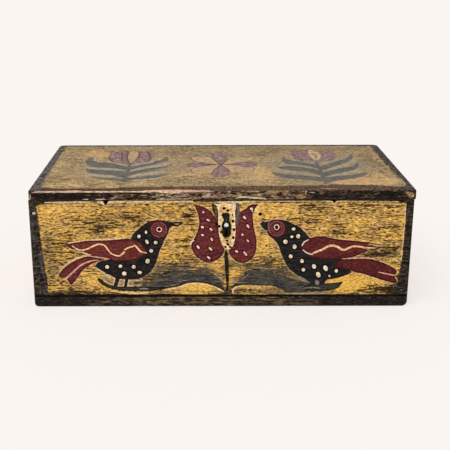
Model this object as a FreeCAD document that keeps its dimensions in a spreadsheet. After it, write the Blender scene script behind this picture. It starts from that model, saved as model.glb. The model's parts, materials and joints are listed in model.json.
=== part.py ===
import FreeCAD, Part
import os
import re

import Sketcher

# Painted pine document box: six nailed boards, two iron hinges, a half-mortise lock and its catch.
# Millimetres. X runs along the front, +Y goes to the back, +Z up. The origin is the middle of
# the whole box's footprint, on the table.

# Driving dimensions, kept in the document's spreadsheet
SIZES = (
    # the box and its boards
    ("box_width", 367.5, "outside, end to end"),
    ("box_depth", 181, "outside, front face to back face"),
    ("rim_height", 110.4, "table to the top edge of the four walls"),
    ("wall_thickness", 10, "front, back and end boards"),
    ("bottom_thickness", 10.6, "bottom board, nailed on under the walls"),
    # the lid
    ("lid_thickness", 9.5, "single board"),
    ("lid_gap", 0.3, "rim to the lid's underside"),
    ("lid_left_inset", 0.7, "lid stops short of the left end"),
    ("lid_right_overhang", 1.1, "lid stands past the right end"),
    ("lid_front_overhang", 1, "lid stands past the front"),
    ("lid_back_overhang", 2.8, "lid stands past the back, over the hinge barrels"),
    # edges rounded by wear
    ("wall_corner_radius", 1.8, "upright outer corners"),
    ("rim_radius", 0.9, "top outer edges of the walls"),
    ("foot_left_radius", 4, "lower left edge of the bottom board"),
    ("foot_right_radius", 5.4, "lower right edge of the bottom board"),
    ("lid_front_corner", 2.5, "front corners of the lid, seen from above"),
    ("lid_back_corner", 6.5, "back corners of the lid, seen from above"),
    ("lid_top_radius", 1.6, "top edges of the lid"),
    ("lid_low_radius", 0.7, "lower edges of the lid"),
    # two old V nicks in the front's rim, with a nail hole above each in the lid's edge
    ("left_nick_place", 110.4, "left of the middle"),
    ("left_nick_width", 6.8, "at the rim"),
    ("left_nick_drop", 5.6, "rim to its point"),
    ("right_nick_place", 106.8, "right of the middle"),
    ("right_nick_width", 5, "at the rim"),
    ("right_nick_drop", 4, "rim to its point"),
    ("old_nail_radius", 0.7, "empty nail hole"),
    ("old_nail_length", 8, "empty nail hole"),
    ("old_nail_rise", 3.6, "above the lid's underside"),
    # plugged hole of a lost knob, in the lid's front edge
    ("plug_place", 2.6, "left of the middle"),
    ("plug_radius", 2.4, "round wooden plug"),
    ("plug_length", 5, "round wooden plug"),
    # cut iron nails
    ("nail_length", 30, "whole nail"),
    ("nail_width", 2.6, "shank under the head"),
    ("nail_tip", 1, "shank at the tip"),
    ("nail_thickness", 2, "shank, constant"),
    ("nail_head", 3.8, "head across"),
    ("nail_head_side", 3.2, "head across its short way"),
    ("nail_head_height", 1.2, "head"),
    ("wall_nail_low", 24, "lowest wall nail above the table"),
    ("wall_nail_pitch", 36.7, "between wall nails"),
    ("bottom_nail_outer", 150, "outer bottom nail from the middle"),
    ("bottom_nail_inner", 52, "inner bottom nail from the middle"),
    ("end_nail_place", 46, "bottom nail of an end board from the middle"),
    # small iron wood screws
    ("screw_length", 7.6, "whole screw"),
    ("screw_head_radius", 2.1, "countersunk head"),
    ("screw_head_height", 1, "countersunk head"),
    ("screw_radius", 1.1, "shank"),
    ("screw_point", 2, "pointed end"),
    ("screw_tip_radius", 0.22, "blunt tip"),
    ("screw_slot", 0.6, "slot width and depth"),
    # butt hinges
    ("hinge_place", 118, "hinge middle from the middle of the box"),
    ("hinge_width", 38, "along the back"),
    ("hinge_leaf_depth", 9, "back face to the leaf's front edge"),
    ("hinge_leaf_thickness", 1.1, "both leaves"),
    ("hinge_axis_out", 0.5, "pin's middle behind the back face"),
    ("hinge_barrel_radius", 2.3, "knuckles"),
    ("hinge_pin_radius", 1.15, "pin"),
    ("hinge_pin_play", 0.05, "pin to knuckle, all round"),
    ("hinge_knuckle", 12.6, "middle knuckle, on the lid's leaf"),
    ("hinge_end_play", 0.3, "between knuckles"),
    ("hinge_swing_play", 0.35, "knuckle to the wood and the other leaf"),
    ("hinge_screw_pitch", 13, "between screws"),
    ("hinge_screw_back", 4.9, "screw row in front of the back face"),
    # keyhole worn into the front board, measured from the lock's pin
    ("pin_place", 4.5, "right of the middle"),
    ("pin_drop", 26.4, "below the rim"),
    ("keyhole_middle_radius", 4.6, "round the pin"),
    ("keyhole_top_radius", 2.9, "upper lobe"),
    ("keyhole_top_rise", 10.1, "upper lobe above the pin"),
    ("keyhole_neck", 4.8, "between pin and upper lobe"),
    ("keyhole_low_radius", 3.9, "lower lobe"),
    ("keyhole_low_drop", 8.3, "lower lobe below the pin"),
    ("keyhole_splinter_radius", 1.6, "bite at the lower left"),
    ("keyhole_splinter_place", 4.3, "left of the pin"),
    ("keyhole_splinter_drop", 6, "below the pin"),
    # lock
    ("lock_plate_width", 62, "on the inside of the front board"),
    ("lock_plate_height", 44.5, "from the rim down"),
    ("lock_plate_thickness", 1.6, "plate and its bent-over edge"),
    ("lock_lip", 8, "bent-over edge, let into the rim"),
    ("lock_case_width", 45.6, "let into the front board"),
    ("lock_case_height", 39, "from under the lip down"),
    ("lock_case_depth", 7, "plate to the case's face"),
    ("lock_case_wall", 1, "case"),
    ("lock_room", 0.2, "case to the wood"),
    ("lock_screw_across", 27.4, "plate screws from the pin, sideways"),
    ("lock_screw_high", 7.5, "upper plate screws below the rim"),
    ("lock_screw_low", 40.5, "lower plate screws below the rim"),
    ("case_keyhole_radius", 3.4, "round part"),
    ("case_keyhole_slot", 3.4, "slot for the key's bit"),
    ("case_keyhole_drop", 11.8, "slot below the pin"),
    ("key_pin_radius", 2.4, "pin that a barrel key turns on"),
    ("key_pin_out", 1.6, "pin past the case's face"),
    ("key_pin_dome", 1.1, "rounded end"),
    ("rivet_radius", 1.3, "case rivets"),
    ("low_rivet_across", 18, "lower rivets from the pin, sideways"),
    ("low_rivet_drop", 10, "lower rivets below the pin"),
    ("tongue_rivet_across", 11.3, "rivet under the bolt's tongue, left of the pin"),
    ("bolt_travel", 6, "withdrawn to thrown"),
    ("bolt_low", 8.5, "bolt's lower edge above the pin"),
    ("bolt_height", 8.5, "bolt"),
    ("bolt_right", 21.2, "bolt's right end from the pin, withdrawn"),
    ("bolt_left", 3, "bolt's body left of the pin, withdrawn"),
    ("bolt_thickness", 3.3, "bolt's body"),
    ("bolt_plate_play", 0.2, "bolt to the lock plate"),
    ("tongue_left", 12.3, "tongue's end left of the pin, withdrawn"),
    ("tongue_low", 12.2, "tongue's lower edge above the pin"),
    ("tongue_height", 4.4, "tongue"),
    ("tongue_thickness", 1.8, "tongue"),
    ("talon_left", 1, "notch that the key pushes, right of the pin"),
    ("talon_width", 4.2, "notch that the key pushes"),
    ("talon_height", 3.6, "notch that the key pushes"),
    ("stud_radius", 1.5, "stud that the bolt slides on"),
    ("stud_place", 10, "right of the pin"),
    ("stud_rise", 12.7, "above the pin"),
    ("stud_play", 0.2, "stud to the bolt's slot"),
    ("spring_radius", 12.8, "bow spring, outside"),
    ("spring_thickness", 0.5, "bow spring"),
    ("spring_width", 4, "bow spring"),
    ("spring_spread", 96, "bow spring's angle in degrees"),
    ("spring_place", 6, "right of the pin"),
    ("spring_bearing", 44, "degrees from straight down to where the ends bear on rivets"),
    ("spring_play", 0.1, "spring to the bolt"),
    # catch on the lid
    ("catch_place", 14.5, "staple left of the lock's pin"),
    ("catch_back", 7.4, "staple's middle behind the front face"),
    ("staple_drop", 17.2, "below the lid's underside"),
    ("staple_width", 4.4, "front to back"),
    ("staple_thickness", 2.2, "along the front"),
    ("staple_window", 2.4, "front to back"),
    ("staple_window_height", 6, "for the bolt's tongue"),
    ("staple_foot", 1.6, "below the window"),
    ("staple_foot_radius", 1.4, "rounded lower corners"),
    ("staple_tenon", 3, "riveted end, front to back"),
    ("staple_slot", 3.4, "slot in the lock's lip, along the front"),
    ("catch_plate_width", 28, "let into the lid's underside"),
    ("catch_plate_depth", 12, "front to back"),
    ("catch_plate_thickness", 1.4, "catch plate"),
    ("catch_plate_corner", 2, "rounded corners"),
    ("catch_screw_across", 9.4, "screws from the staple"),
    # fits and working margins
    ("snug_fit", 0.03, "things driven into a hole, all round"),
    ("cut_margin", 1, "a cut runs this far past the face that it opens"),
    ("join_overlap", 1, "two solids of one piece run this far into each other"),
)
NAMES = {name for name, value, note in SIZES}

# Places worked out from them, as expressions
LEFT = "(-(box_width + lid_right_overhang) / 2)"
RIGHT = f"({LEFT} + box_width)"
LID_DEPTH = "(box_depth + lid_front_overhang + lid_back_overhang)"
LID_FRONT = f"(-{LID_DEPTH} / 2)"
LID_LEFT = f"({LEFT} + lid_left_inset)"
LID_WIDTH = "(box_width - lid_left_inset + lid_right_overhang)"
LID_LOW = "(rim_height + lid_gap)"
LID_TOP = f"({LID_LOW} + lid_thickness)"
FRONT = f"({LID_FRONT} + lid_front_overhang)"
BACK = f"({FRONT} + box_depth)"
INNER_FRONT = f"({FRONT} + wall_thickness)"
INNER_BACK = f"({BACK} - wall_thickness)"
WALL_HEIGHT = "(rim_height - bottom_thickness)"
HINGE_Y = f"({BACK} + hinge_axis_out)"
HINGE_Z = "(rim_height + lid_gap / 2)"
PIN_Z = "(rim_height - pin_drop)"
CASE_FACE = f"({INNER_FRONT} - lock_case_depth)"
CASE_TOP = "(rim_height - lock_plate_thickness)"
STAPLE_X = "(pin_place - catch_place)"
STAPLE_Y = f"({FRONT} + catch_back)"
BOLT_LOW = f"({PIN_Z} + bolt_low)"
BOLT_BACK = f"({INNER_FRONT} - bolt_plate_play)"

# Turns for things driven in along their own axis: nails are made along +Y, the rest along +Z
AS_MADE = FreeCAD.Rotation()
NAIL_FORWARD = FreeCAD.Rotation(FreeCAD.Vector(0, 0, 1), 180)
NAIL_UP = FreeCAD.Rotation(FreeCAD.Vector(1, 0, 0), 90)
TO_FRONT = FreeCAD.Rotation(FreeCAD.Vector(1, 0, 0), 90)
TO_BACK = FreeCAD.Rotation(FreeCAD.Vector(1, 0, 0), -90)
TO_RIGHT = FreeCAD.Rotation(FreeCAD.Vector(0, 1, 0), 90)
DOWN = FreeCAD.Rotation(FreeCAD.Vector(1, 0, 0), 180)

WALL_NAIL_ROWS = 3
LEAST_CHANGE = 0.01  # cubic millimetres that a pad or pocket has to add or take

document = FreeCAD.newDocument("painted_box")
sheet = document.addObject("Spreadsheet::Sheet", "Sizes")
for row, (name, value, note) in enumerate(SIZES, 1):
    sheet.set(f"A{row}", name)
    sheet.set(f"B{row}", str(value))
    sheet.set(f"C{row}", note)
    sheet.setAlias(f"B{row}", name)
document.recompute()


# Small helpers

def cells(expression):
    """Point every dimension named in an expression at its cell."""
    return re.sub(r"[a-z_]+", lambda word: f"Sizes.{word[0]}" if word[0] in NAMES else word[0], expression)


def size(expression):
    """The number that an expression gives now."""
    return float(sheet.evalExpression(cells(expression)))


def bind(item, path, expression):
    item.setExpression(path, cells(expression))


def place(item, at, turn=AS_MADE):
    item.Placement = FreeCAD.Placement(FreeCAD.Vector(), turn)
    for axis, expression in zip("xyz", at):
        bind(item, f"Placement.Base.{axis}", expression)
    return item


def solid(kind, label, **sizes):
    item = document.addObject(f"Part::{kind}", label)
    item.Label = label
    for path, expression in sizes.items():
        bind(item, path, expression)
    return item


def block(label, at, spans):
    long, wide, high = spans
    return place(solid("Box", label, Length=long, Width=wide, Height=high), at)


def rod(label, at, turn, radius, length):
    return place(solid("Cylinder", label, Radius=radius, Height=length), at, turn)


def joined(label, *solids):
    item = document.addObject("Part::MultiFuse", label)
    item.Label = label
    item.Shapes = solids
    return item


def cut(label, base, *tools):
    item = document.addObject("Part::Cut", label)
    item.Label = label
    item.Base = base
    item.Tool = tools[0] if len(tools) == 1 else joined(f"{label}_cutters", *tools)
    return item


def group(label, solids):
    item = document.addObject("Part::Compound", label)
    item.Label = label
    item.Links = solids
    return item


def new_body(label):
    body = document.addObject("PartDesign::Body", label)
    body.Label = label
    return body


def sketch_on(body, role, offset):
    """A sketch on one of the body's own planes, moved along the plane's normal."""
    sketch = body.newObject("Sketcher::SketchObject", f"{body.Name}_sketch")
    plane = next(item for item in body.Origin.OriginFeatures if item.Role == role)
    sketch.AttachmentSupport = [(plane, "")]
    sketch.MapMode = "FlatFace"
    bind(sketch, "AttachmentOffset.Base.z", offset)
    return sketch


def fix(sketch, line, across, up):
    """Hold the first point of a line, or a circle's middle, at its two measures."""
    middle_or_start = 3 if isinstance(sketch.Geometry[line], Part.Circle) else 1
    for direction, expression in (("DistanceX", across), ("DistanceY", up)):
        hold = Sketcher.Constraint(direction, -1, 1, line, middle_or_start, size(expression))
        bind(sketch, f"Constraints[{sketch.addConstraint(hold)}]", expression)


def polygon(sketch, corners):
    """A closed outline whose corners all have their own measures."""
    points = [FreeCAD.Vector(size(across), size(up), 0) for across, up in corners]
    lines = [
        sketch.addGeometry(Part.LineSegment(start, end))
        for start, end in zip(points, points[1:] + points[:1])
    ]
    for line, following in zip(lines, lines[1:] + lines[:1]):
        sketch.addConstraint(Sketcher.Constraint("Coincident", line, 2, following, 1))
    for line, corner in zip(lines, corners):
        fix(sketch, line, *corner)


def rectangle(sketch, left, low, width, height):
    right = f"{left} + {width}"
    high = f"{low} + {height}"
    polygon(sketch, ((left, low), (right, low), (right, high), (left, high)))


def circle(sketch, across, up, radius):
    middle = FreeCAD.Vector(size(across), size(up), 0)
    ring = sketch.addGeometry(Part.Circle(middle, FreeCAD.Vector(0, 0, 1), size(radius)))
    fix(sketch, ring, across, up)
    hold = Sketcher.Constraint("Radius", ring, size(radius))
    bind(sketch, f"Constraints[{sketch.addConstraint(hold)}]", radius)


def extrude(body, kind, sketch, length):
    """Pad or Pocket a sketch: a pad grows along the sketch's normal, a pocket goes against it."""
    before = 0 if body.Shape.isNull() else body.Shape.Volume
    feature = body.newObject(f"PartDesign::{kind}", f"{body.Name}_{kind}")
    feature.Profile = sketch
    bind(feature, "Length", length)
    document.recompute()
    if abs(body.Shape.Volume - before) < LEAST_CHANGE:
        raise RuntimeError(f"{feature.Name} changed nothing")
    return feature


def round_edges(body, radius, middles):
    """Fillet the edges whose middles are nearest the given points."""
    base = body.Tip
    edges = base.Shape.Edges
    names = []
    for at in middles:
        point = FreeCAD.Vector(*[size(expression) for expression in at])
        distances = [edge.CenterOfMass.distanceToPoint(point) for edge in edges]
        names.append(f"Edge{distances.index(min(distances)) + 1}")
    fillet = body.newObject("PartDesign::Fillet", f"{body.Name}_rounding")
    fillet.Base = (base, names)
    bind(fillet, "Radius", radius)
    document.recompute()


# Nails and screws, with the holes that they sit in

def nail_shank(label, grow):
    """Tapered shank along +Y from the head's top; grow is the clearance all round."""
    return solid(
        "Wedge", f"{label}_shank",
        Xmin=f"-nail_width / 2 - {grow}", Xmax=f"nail_width / 2 + {grow}",
        Zmin=f"-nail_thickness / 2 - {grow}", Zmax=f"nail_thickness / 2 + {grow}",
        Ymin="0", Ymax=f"nail_length + {grow}",
        X2min=f"-nail_tip / 2 - {grow}", X2max=f"nail_tip / 2 + {grow}",
        Z2min=f"-nail_thickness / 2 - {grow}", Z2max=f"nail_thickness / 2 + {grow}",
    )


def nail(label, at, turn):
    head = solid(
        "Wedge", f"{label}_head",
        Xmin="-nail_width / 2", Xmax="nail_width / 2",
        Zmin="-nail_thickness / 2", Zmax="nail_thickness / 2",
        Ymin="0", Ymax="nail_head_height",
        X2min="-nail_head / 2", X2max="nail_head / 2",
        Z2min="-nail_head_side / 2", Z2max="nail_head_side / 2",
    )
    return place(joined(label, nail_shank(label, "0"), head), at, turn)


def nail_hole(label, at, turn):
    seat = block(
        f"{label}_seat",
        ("-nail_head / 2 - snug_fit", "-cut_margin", "-nail_head_side / 2 - snug_fit"),
        ("nail_head + 2 * snug_fit", "nail_head_height + cut_margin", "nail_head_side + 2 * snug_fit"),
    )
    return place(joined(label, nail_shank(label, "snug_fit"), seat), at, turn)


def nails(label, places, turn):
    """A group of nails and the group of holes for them."""
    driven = [nail(f"{label}_{count}", at, turn) for count, at in enumerate(places, 1)]
    holes = [nail_hole(f"{label}_hole_{count}", at, turn) for count, at in enumerate(places, 1)]
    return group(label, driven), group(f"{label}_holes", holes)


def screw(label, at, turn):
    head = solid(
        "Cone", f"{label}_head", Radius1="screw_head_radius", Radius2="screw_radius",
        Height="screw_head_height",
    )
    shank = solid("Cylinder", f"{label}_shank", Radius="screw_radius", Height="screw_length - screw_point")
    point = solid(
        "Cone", f"{label}_point", Radius1="screw_radius", Radius2="screw_tip_radius", Height="screw_point"
    )
    place(point, ("0", "0", "screw_length - screw_point"))
    slot = block(
        f"{label}_slot", ("-screw_head_radius", "-screw_slot / 2", "0"),
        ("2 * screw_head_radius", "screw_slot", "screw_slot"),
    )
    return place(cut(label, joined(f"{label}_blank", head, shank, point), slot), at, turn)


def screw_hole(label, at, turn):
    seat = solid(
        "Cone", f"{label}_seat", Radius1="screw_head_radius + snug_fit",
        Radius2="screw_radius + snug_fit", Height="screw_head_height",
    )
    bore = solid(
        "Cylinder", f"{label}_bore", Radius="screw_radius + snug_fit", Height="screw_length + snug_fit"
    )
    return place(joined(label, seat, bore), at, turn)


def screws(label, places, turn):
    """A group of screws and the group of holes for them."""
    driven = [screw(f"{label}_{count}", at, turn) for count, at in enumerate(places, 1)]
    holes = [screw_hole(f"{label}_hole_{count}", at, turn) for count, at in enumerate(places, 1)]
    return group(label, driven), group(f"{label}_holes", holes)


# Boards before anything is cut into them

def board(label, corner, spans):
    left, front, low = corner
    width, depth, height = spans
    body = new_body(label)
    sketch = sketch_on(body, "XY_Plane", low)
    rectangle(sketch, left, front, width, depth)
    extrude(body, "Pad", sketch, height)
    return body


def wall_nails():
    """Nails through the front and the back into the end boards."""
    ends = (f"{LEFT} + wall_thickness / 2", f"{RIGHT} - wall_thickness / 2")
    heights = [f"wall_nail_low + {count} * wall_nail_pitch" for count in range(WALL_NAIL_ROWS)]
    front = nails("front_nails", [(end, FRONT, high) for end in ends for high in heights], AS_MADE)
    back = nails("back_nails", [(end, BACK, high) for end in ends for high in heights], NAIL_FORWARD)
    return front, back


def bottom_nails():
    """Nails up through the bottom board into all four walls."""
    long_rows = (f"{FRONT} + wall_thickness / 2", f"{BACK} - wall_thickness / 2")
    across = ("-bottom_nail_outer", "-bottom_nail_inner", "bottom_nail_inner", "bottom_nail_outer")
    places = [(along, row, "0") for row in long_rows for along in across]
    middle = f"({FRONT} + box_depth / 2)"
    for end in (f"{LEFT} + wall_thickness / 2", f"{RIGHT} - wall_thickness / 2"):
        places += [(end, f"{middle} + {side} * end_nail_place", "0") for side in (-1, 1)]
    return nails("bottom_nails", places, NAIL_UP)


def nick(label, place_across, width, drop):
    """V cut through the front board's rim."""
    body = new_body(label)
    sketch = sketch_on(body, "XZ_Plane", f"-{INNER_FRONT} - cut_margin")
    polygon(sketch, (
        (f"{place_across}", f"rim_height - {drop}"),
        (f"{place_across} + {width} / 2", "rim_height"),
        (f"{place_across} + {width} / 2", "rim_height + cut_margin"),
        (f"{place_across} - {width} / 2", "rim_height + cut_margin"),
        (f"{place_across} - {width} / 2", "rim_height"),
    ))
    extrude(body, "Pad", sketch, "wall_thickness + 2 * cut_margin")
    return body


def keyhole():
    """Worn keyhole: an upper lobe, a waist, a round middle, a lower lobe and a small bite."""
    start = f"{FRONT} - cut_margin"
    through = "wall_thickness"

    def lobe(name, across, up, radius):
        at = (f"pin_place + {across}", start, f"{PIN_Z} + {up}")
        return rod(f"keyhole_{name}", at, TO_BACK, radius, through)

    return joined(
        "keyhole",
        lobe("top", "0", "keyhole_top_rise", "keyhole_top_radius"),
        lobe("middle", "0", "0", "keyhole_middle_radius"),
        lobe("low", "0", "-keyhole_low_drop", "keyhole_low_radius"),
        lobe("splinter", "-keyhole_splinter_place", "-keyhole_splinter_drop", "keyhole_splinter_radius"),
        block("keyhole_waist", ("pin_place - keyhole_neck / 2", start, PIN_Z),
              ("keyhole_neck", through, "keyhole_top_rise")),
        block("keyhole_slot", ("pin_place - keyhole_low_radius", start, f"{PIN_Z} - keyhole_low_drop"),
              ("2 * keyhole_low_radius", through, "keyhole_low_drop")),
    )


def lock_bed():
    """Room for the lock's case and lip in the front board."""
    case = block(
        "lock_case_bed",
        ("pin_place - lock_case_width / 2 - lock_room", CASE_FACE,
         f"{CASE_TOP} - lock_case_height - lock_room"),
        ("lock_case_width + 2 * lock_room", "lock_case_depth + cut_margin",
         "lock_case_height + lock_room + cut_margin"),
    )
    lip = block(
        "lock_lip_bed",
        ("pin_place - lock_plate_width / 2", f"{INNER_FRONT} - lock_lip", CASE_TOP),
        ("lock_plate_width", "lock_lip + cut_margin", "lock_plate_thickness + cut_margin"),
    )
    return case, lip


# Hinges

def knuckle_window(label, left, width):
    """Clears one leaf away from a knuckle of the other."""
    reach = "(hinge_barrel_radius + hinge_swing_play)"
    at = (left, f"{HINGE_Y} - {reach}", f"{HINGE_Z} - 2 * {reach}")
    return block(label, at, (width, f"3 * {reach}", f"4 * {reach}"))


def hinge(side, middle):
    """Both leaves, the pin, their screws, and what is cut from the wood for them."""
    start = f"{middle} - hinge_width / 2"
    leaf_front = f"({BACK} - hinge_leaf_depth)"
    leaf_depth = "hinge_leaf_depth + hinge_axis_out"
    inner_left = f"({middle} - hinge_knuckle / 2)"
    outer_span = "(hinge_width - hinge_knuckle) / 2"
    rows = [f"{middle} + {count} * hinge_screw_pitch" for count in (-1, 0, 1)]
    row_y = f"{BACK} - hinge_screw_back"
    barrel_at = (start, HINGE_Y, HINGE_Z)
    box_screws, box_holes = screws(
        f"{side}_hinge_box_screws", [(across, row_y, "rim_height") for across in rows], DOWN)
    lid_screws, lid_holes = screws(
        f"{side}_hinge_lid_screws", [(across, row_y, LID_LOW) for across in rows], AS_MADE)

    def leaf(name, low, holes, windows):
        spans = ("hinge_width", leaf_depth, "hinge_leaf_thickness")
        plate = block(f"{name}_plate", (start, leaf_front, low), spans)
        barrel = rod(f"{name}_barrel", barrel_at, TO_RIGHT, "hinge_barrel_radius", "hinge_width")
        bore = rod(f"{name}_bore", barrel_at, TO_RIGHT, "hinge_pin_radius + hinge_pin_play", "hinge_width")
        return cut(name, joined(f"{name}_blank", plate, barrel), bore, holes, *windows)

    box_leaf = leaf(
        f"{side}_hinge_box_leaf", "rim_height - hinge_leaf_thickness", box_holes,
        [knuckle_window(f"{side}_box_leaf_window", f"{inner_left} - hinge_end_play / 2",
                        "hinge_knuckle + hinge_end_play")],
    )
    lid_leaf = leaf(
        f"{side}_hinge_lid_leaf", LID_LOW, lid_holes,
        [knuckle_window(f"{side}_lid_leaf_left_window", start, f"{outer_span} + hinge_end_play / 2"),
         knuckle_window(f"{side}_lid_leaf_right_window", f"{inner_left} + hinge_knuckle - hinge_end_play / 2",
                        f"{outer_span} + hinge_end_play / 2")],
    )
    pin = rod(f"{side}_hinge_pin", barrel_at, TO_RIGHT, "hinge_pin_radius", "hinge_width")
    groove = rod(
        f"{side}_hinge_groove", (f"{start} - hinge_end_play", HINGE_Y, HINGE_Z), TO_RIGHT,
        "hinge_barrel_radius + hinge_swing_play", "hinge_width + 2 * hinge_end_play",
    )
    beds = [
        block(f"{side}_hinge_{part}_bed", (f"{start} - hinge_end_play", f"{leaf_front} - snug_fit", low),
              ("hinge_width + 2 * hinge_end_play", f"{leaf_depth}", high))
        for part, low, high in (
            ("box", "rim_height - hinge_leaf_thickness", "hinge_leaf_thickness + cut_margin"),
            ("lid", f"{LID_LOW} - cut_margin", "hinge_leaf_thickness + cut_margin"),
        )
    ]
    pieces = [box_leaf, lid_leaf, pin, box_screws, lid_screws]
    return pieces, [groove, beds[0], box_holes], [groove, beds[1], lid_holes]


# Lock in the front board

def lock_plate(holes):
    """Plate on the inside of the front, bent over at the rim, with a slot for the staple."""
    body = new_body("lock_plate_blank")
    sketch = sketch_on(body, "YZ_Plane", "pin_place - lock_plate_width / 2")
    inside = f"{INNER_FRONT} + lock_plate_thickness"
    polygon(sketch, (
        (f"{INNER_FRONT} - lock_lip", CASE_TOP),
        (INNER_FRONT, CASE_TOP),
        (INNER_FRONT, "rim_height - lock_plate_height"),
        (inside, "rim_height - lock_plate_height"),
        (inside, "rim_height"),
        (f"{INNER_FRONT} - lock_lip", "rim_height"),
    ))
    extrude(body, "Pad", sketch, "lock_plate_width")
    round_edges(body, "lock_plate_thickness / 2", [("pin_place", inside, "rim_height")])
    slot = block(
        "staple_slot",
        (f"{STAPLE_X} - staple_slot / 2", f"{CASE_FACE} + lock_case_wall", f"{CASE_TOP} - cut_margin"),
        ("staple_slot", "lock_case_depth - lock_case_wall - snug_fit",
         "lock_plate_thickness + 2 * cut_margin"),
    )
    return cut("lock_plate", body, slot, holes, *rivet_rods("plate_rivet_bore", "snug_fit"))


def lock_case():
    """Shallow iron tray between plate and wood, open towards the plate and at the top."""
    body = new_body("lock_case_blank")
    left = "(pin_place - lock_case_width / 2)"
    low = f"({CASE_TOP} - lock_case_height)"
    face = sketch_on(body, "XZ_Plane", f"-{INNER_FRONT}")
    rectangle(face, left, low, "lock_case_width", "lock_case_height")
    extrude(body, "Pad", face, "lock_case_depth")
    room = sketch_on(body, "XZ_Plane", f"-{INNER_FRONT} + (lock_case_depth - lock_case_wall)")
    rectangle(
        room, f"{left} + lock_case_wall", f"{low} + lock_case_wall", "lock_case_width - 2 * lock_case_wall",
        "lock_case_height",
    )
    extrude(body, "Pocket", room, "lock_case_depth")
    start = f"{CASE_FACE} - cut_margin"
    through = "lock_case_wall + 2 * cut_margin"
    round_part = rod(
        "case_keyhole_round", ("pin_place", start, PIN_Z), TO_BACK, "case_keyhole_radius", through
    )
    slot = block(
        "case_keyhole_slot", ("pin_place - case_keyhole_slot / 2", start, f"{PIN_Z} - case_keyhole_drop"),
        ("case_keyhole_slot", through, "case_keyhole_drop"),
    )
    return cut("lock_case", body, round_part, slot, *rivet_rods("case_rivet_bore", "snug_fit"))


def rivet_rods(label, grow):
    """Rivets from the plate through the case; the first is the stud that the bolt slides on."""
    arc_middle = f"{BOLT_LOW} + bolt_height + spring_play + spring_radius"
    hold = "(spring_radius - spring_thickness - rivet_radius)"
    aside = f"sin(spring_bearing * 1deg) * {hold}"
    bearing_height = f"{arc_middle} - cos(spring_bearing * 1deg) * {hold}"
    places = (
        ("stud_place", f"{PIN_Z} + stud_rise", "stud_radius"),
        ("-tongue_rivet_across", f"{PIN_Z} + tongue_low - rivet_radius - stud_play", "rivet_radius"),
        (f"spring_place - {aside}", bearing_height, "rivet_radius"),
        (f"spring_place + {aside}", bearing_height, "rivet_radius"),
        ("-low_rivet_across", f"{PIN_Z} - low_rivet_drop", "rivet_radius"),
        ("low_rivet_across", f"{PIN_Z} - low_rivet_drop", "rivet_radius"),
    )
    return [
        rod(f"{label}_{count}", (f"pin_place + {across}", CASE_FACE, high), TO_BACK, f"{radius} + {grow}",
            "lock_case_depth + lock_plate_thickness")
        for count, (across, high, radius) in enumerate(places, 1)
    ]


def key_pin():
    """Fixed pin that the hollow key turns on, seen through the keyhole."""
    body = new_body("lock_key_pin")
    shaft = sketch_on(body, "XZ_Plane", f"-{INNER_FRONT}")
    circle(shaft, "pin_place", PIN_Z, "key_pin_radius")
    extrude(body, "Pad", shaft, "lock_case_depth + key_pin_out")
    round_edges(body, "key_pin_dome", [("pin_place", f"{CASE_FACE} - key_pin_out", PIN_Z)])
    return body


def lock_bolt():
    """Sliding bolt, drawn back: body with the key's notch, thinner tongue, slot for the stud."""
    body = new_body("lock_bolt")
    left = "(pin_place - bolt_left)"
    right = "(pin_place + bolt_right)"
    top = f"({BOLT_LOW} + bolt_height)"
    talon = "(pin_place + talon_left)"
    outline = sketch_on(body, "XZ_Plane", f"-{BOLT_BACK}")
    polygon(outline, (
        (left, BOLT_LOW),
        (talon, BOLT_LOW),
        (talon, f"{BOLT_LOW} + talon_height"),
        (f"{talon} + talon_width", f"{BOLT_LOW} + talon_height"),
        (f"{talon} + talon_width", BOLT_LOW),
        (right, BOLT_LOW),
        (right, top),
        (left, top),
    ))
    extrude(body, "Pad", outline, "bolt_thickness")
    tongue = sketch_on(body, "XZ_Plane", f"-{BOLT_BACK} + (bolt_thickness - tongue_thickness)")
    rectangle(tongue, "(pin_place - tongue_left)", f"{PIN_Z} + tongue_low",
              "tongue_left - bolt_left + join_overlap", "tongue_height")
    extrude(body, "Pad", tongue, "tongue_thickness")
    slot = sketch_on(body, "XZ_Plane", f"-{BOLT_BACK} + bolt_thickness")
    reach = "(stud_radius + stud_play)"
    slot_left = f"(pin_place + stud_place - {reach})"
    slot_low = f"({PIN_Z} + stud_rise - {reach})"
    rectangle(slot, slot_left, slot_low, f"2 * {reach} + bolt_travel", f"2 * {reach}")
    extrude(body, "Pocket", slot, "bolt_thickness")
    middle = f"{BOLT_BACK} - bolt_thickness / 2"
    round_edges(body, "stud_radius", [
        (across, middle, high)
        for across in (slot_left, f"{slot_left} + 2 * {reach} + bolt_travel")
        for high in (slot_low, f"{slot_low} + 2 * {reach}")
    ])
    return body


def lock_spring():
    """Bow spring held under two rivets, pressing on the bolt's top edge."""
    turn = TO_FRONT.multiply(FreeCAD.Rotation(FreeCAD.Vector(0, 0, 1), -90 - size("spring_spread") / 2))
    at = (
        "pin_place + spring_place", f"{BOLT_BACK} + snug_fit",
        f"{BOLT_LOW} + bolt_height + spring_play + spring_radius",
    )
    outer = solid(
        "Cylinder", "spring_outer", Radius="spring_radius", Height="spring_width", Angle="spring_spread"
    )
    inner_radius = "spring_radius - spring_thickness"
    inner = solid("Cylinder", "spring_inner", Radius=inner_radius, Height="spring_width")
    return cut("lock_spring", place(outer, at, turn), place(inner, at, turn))


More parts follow.
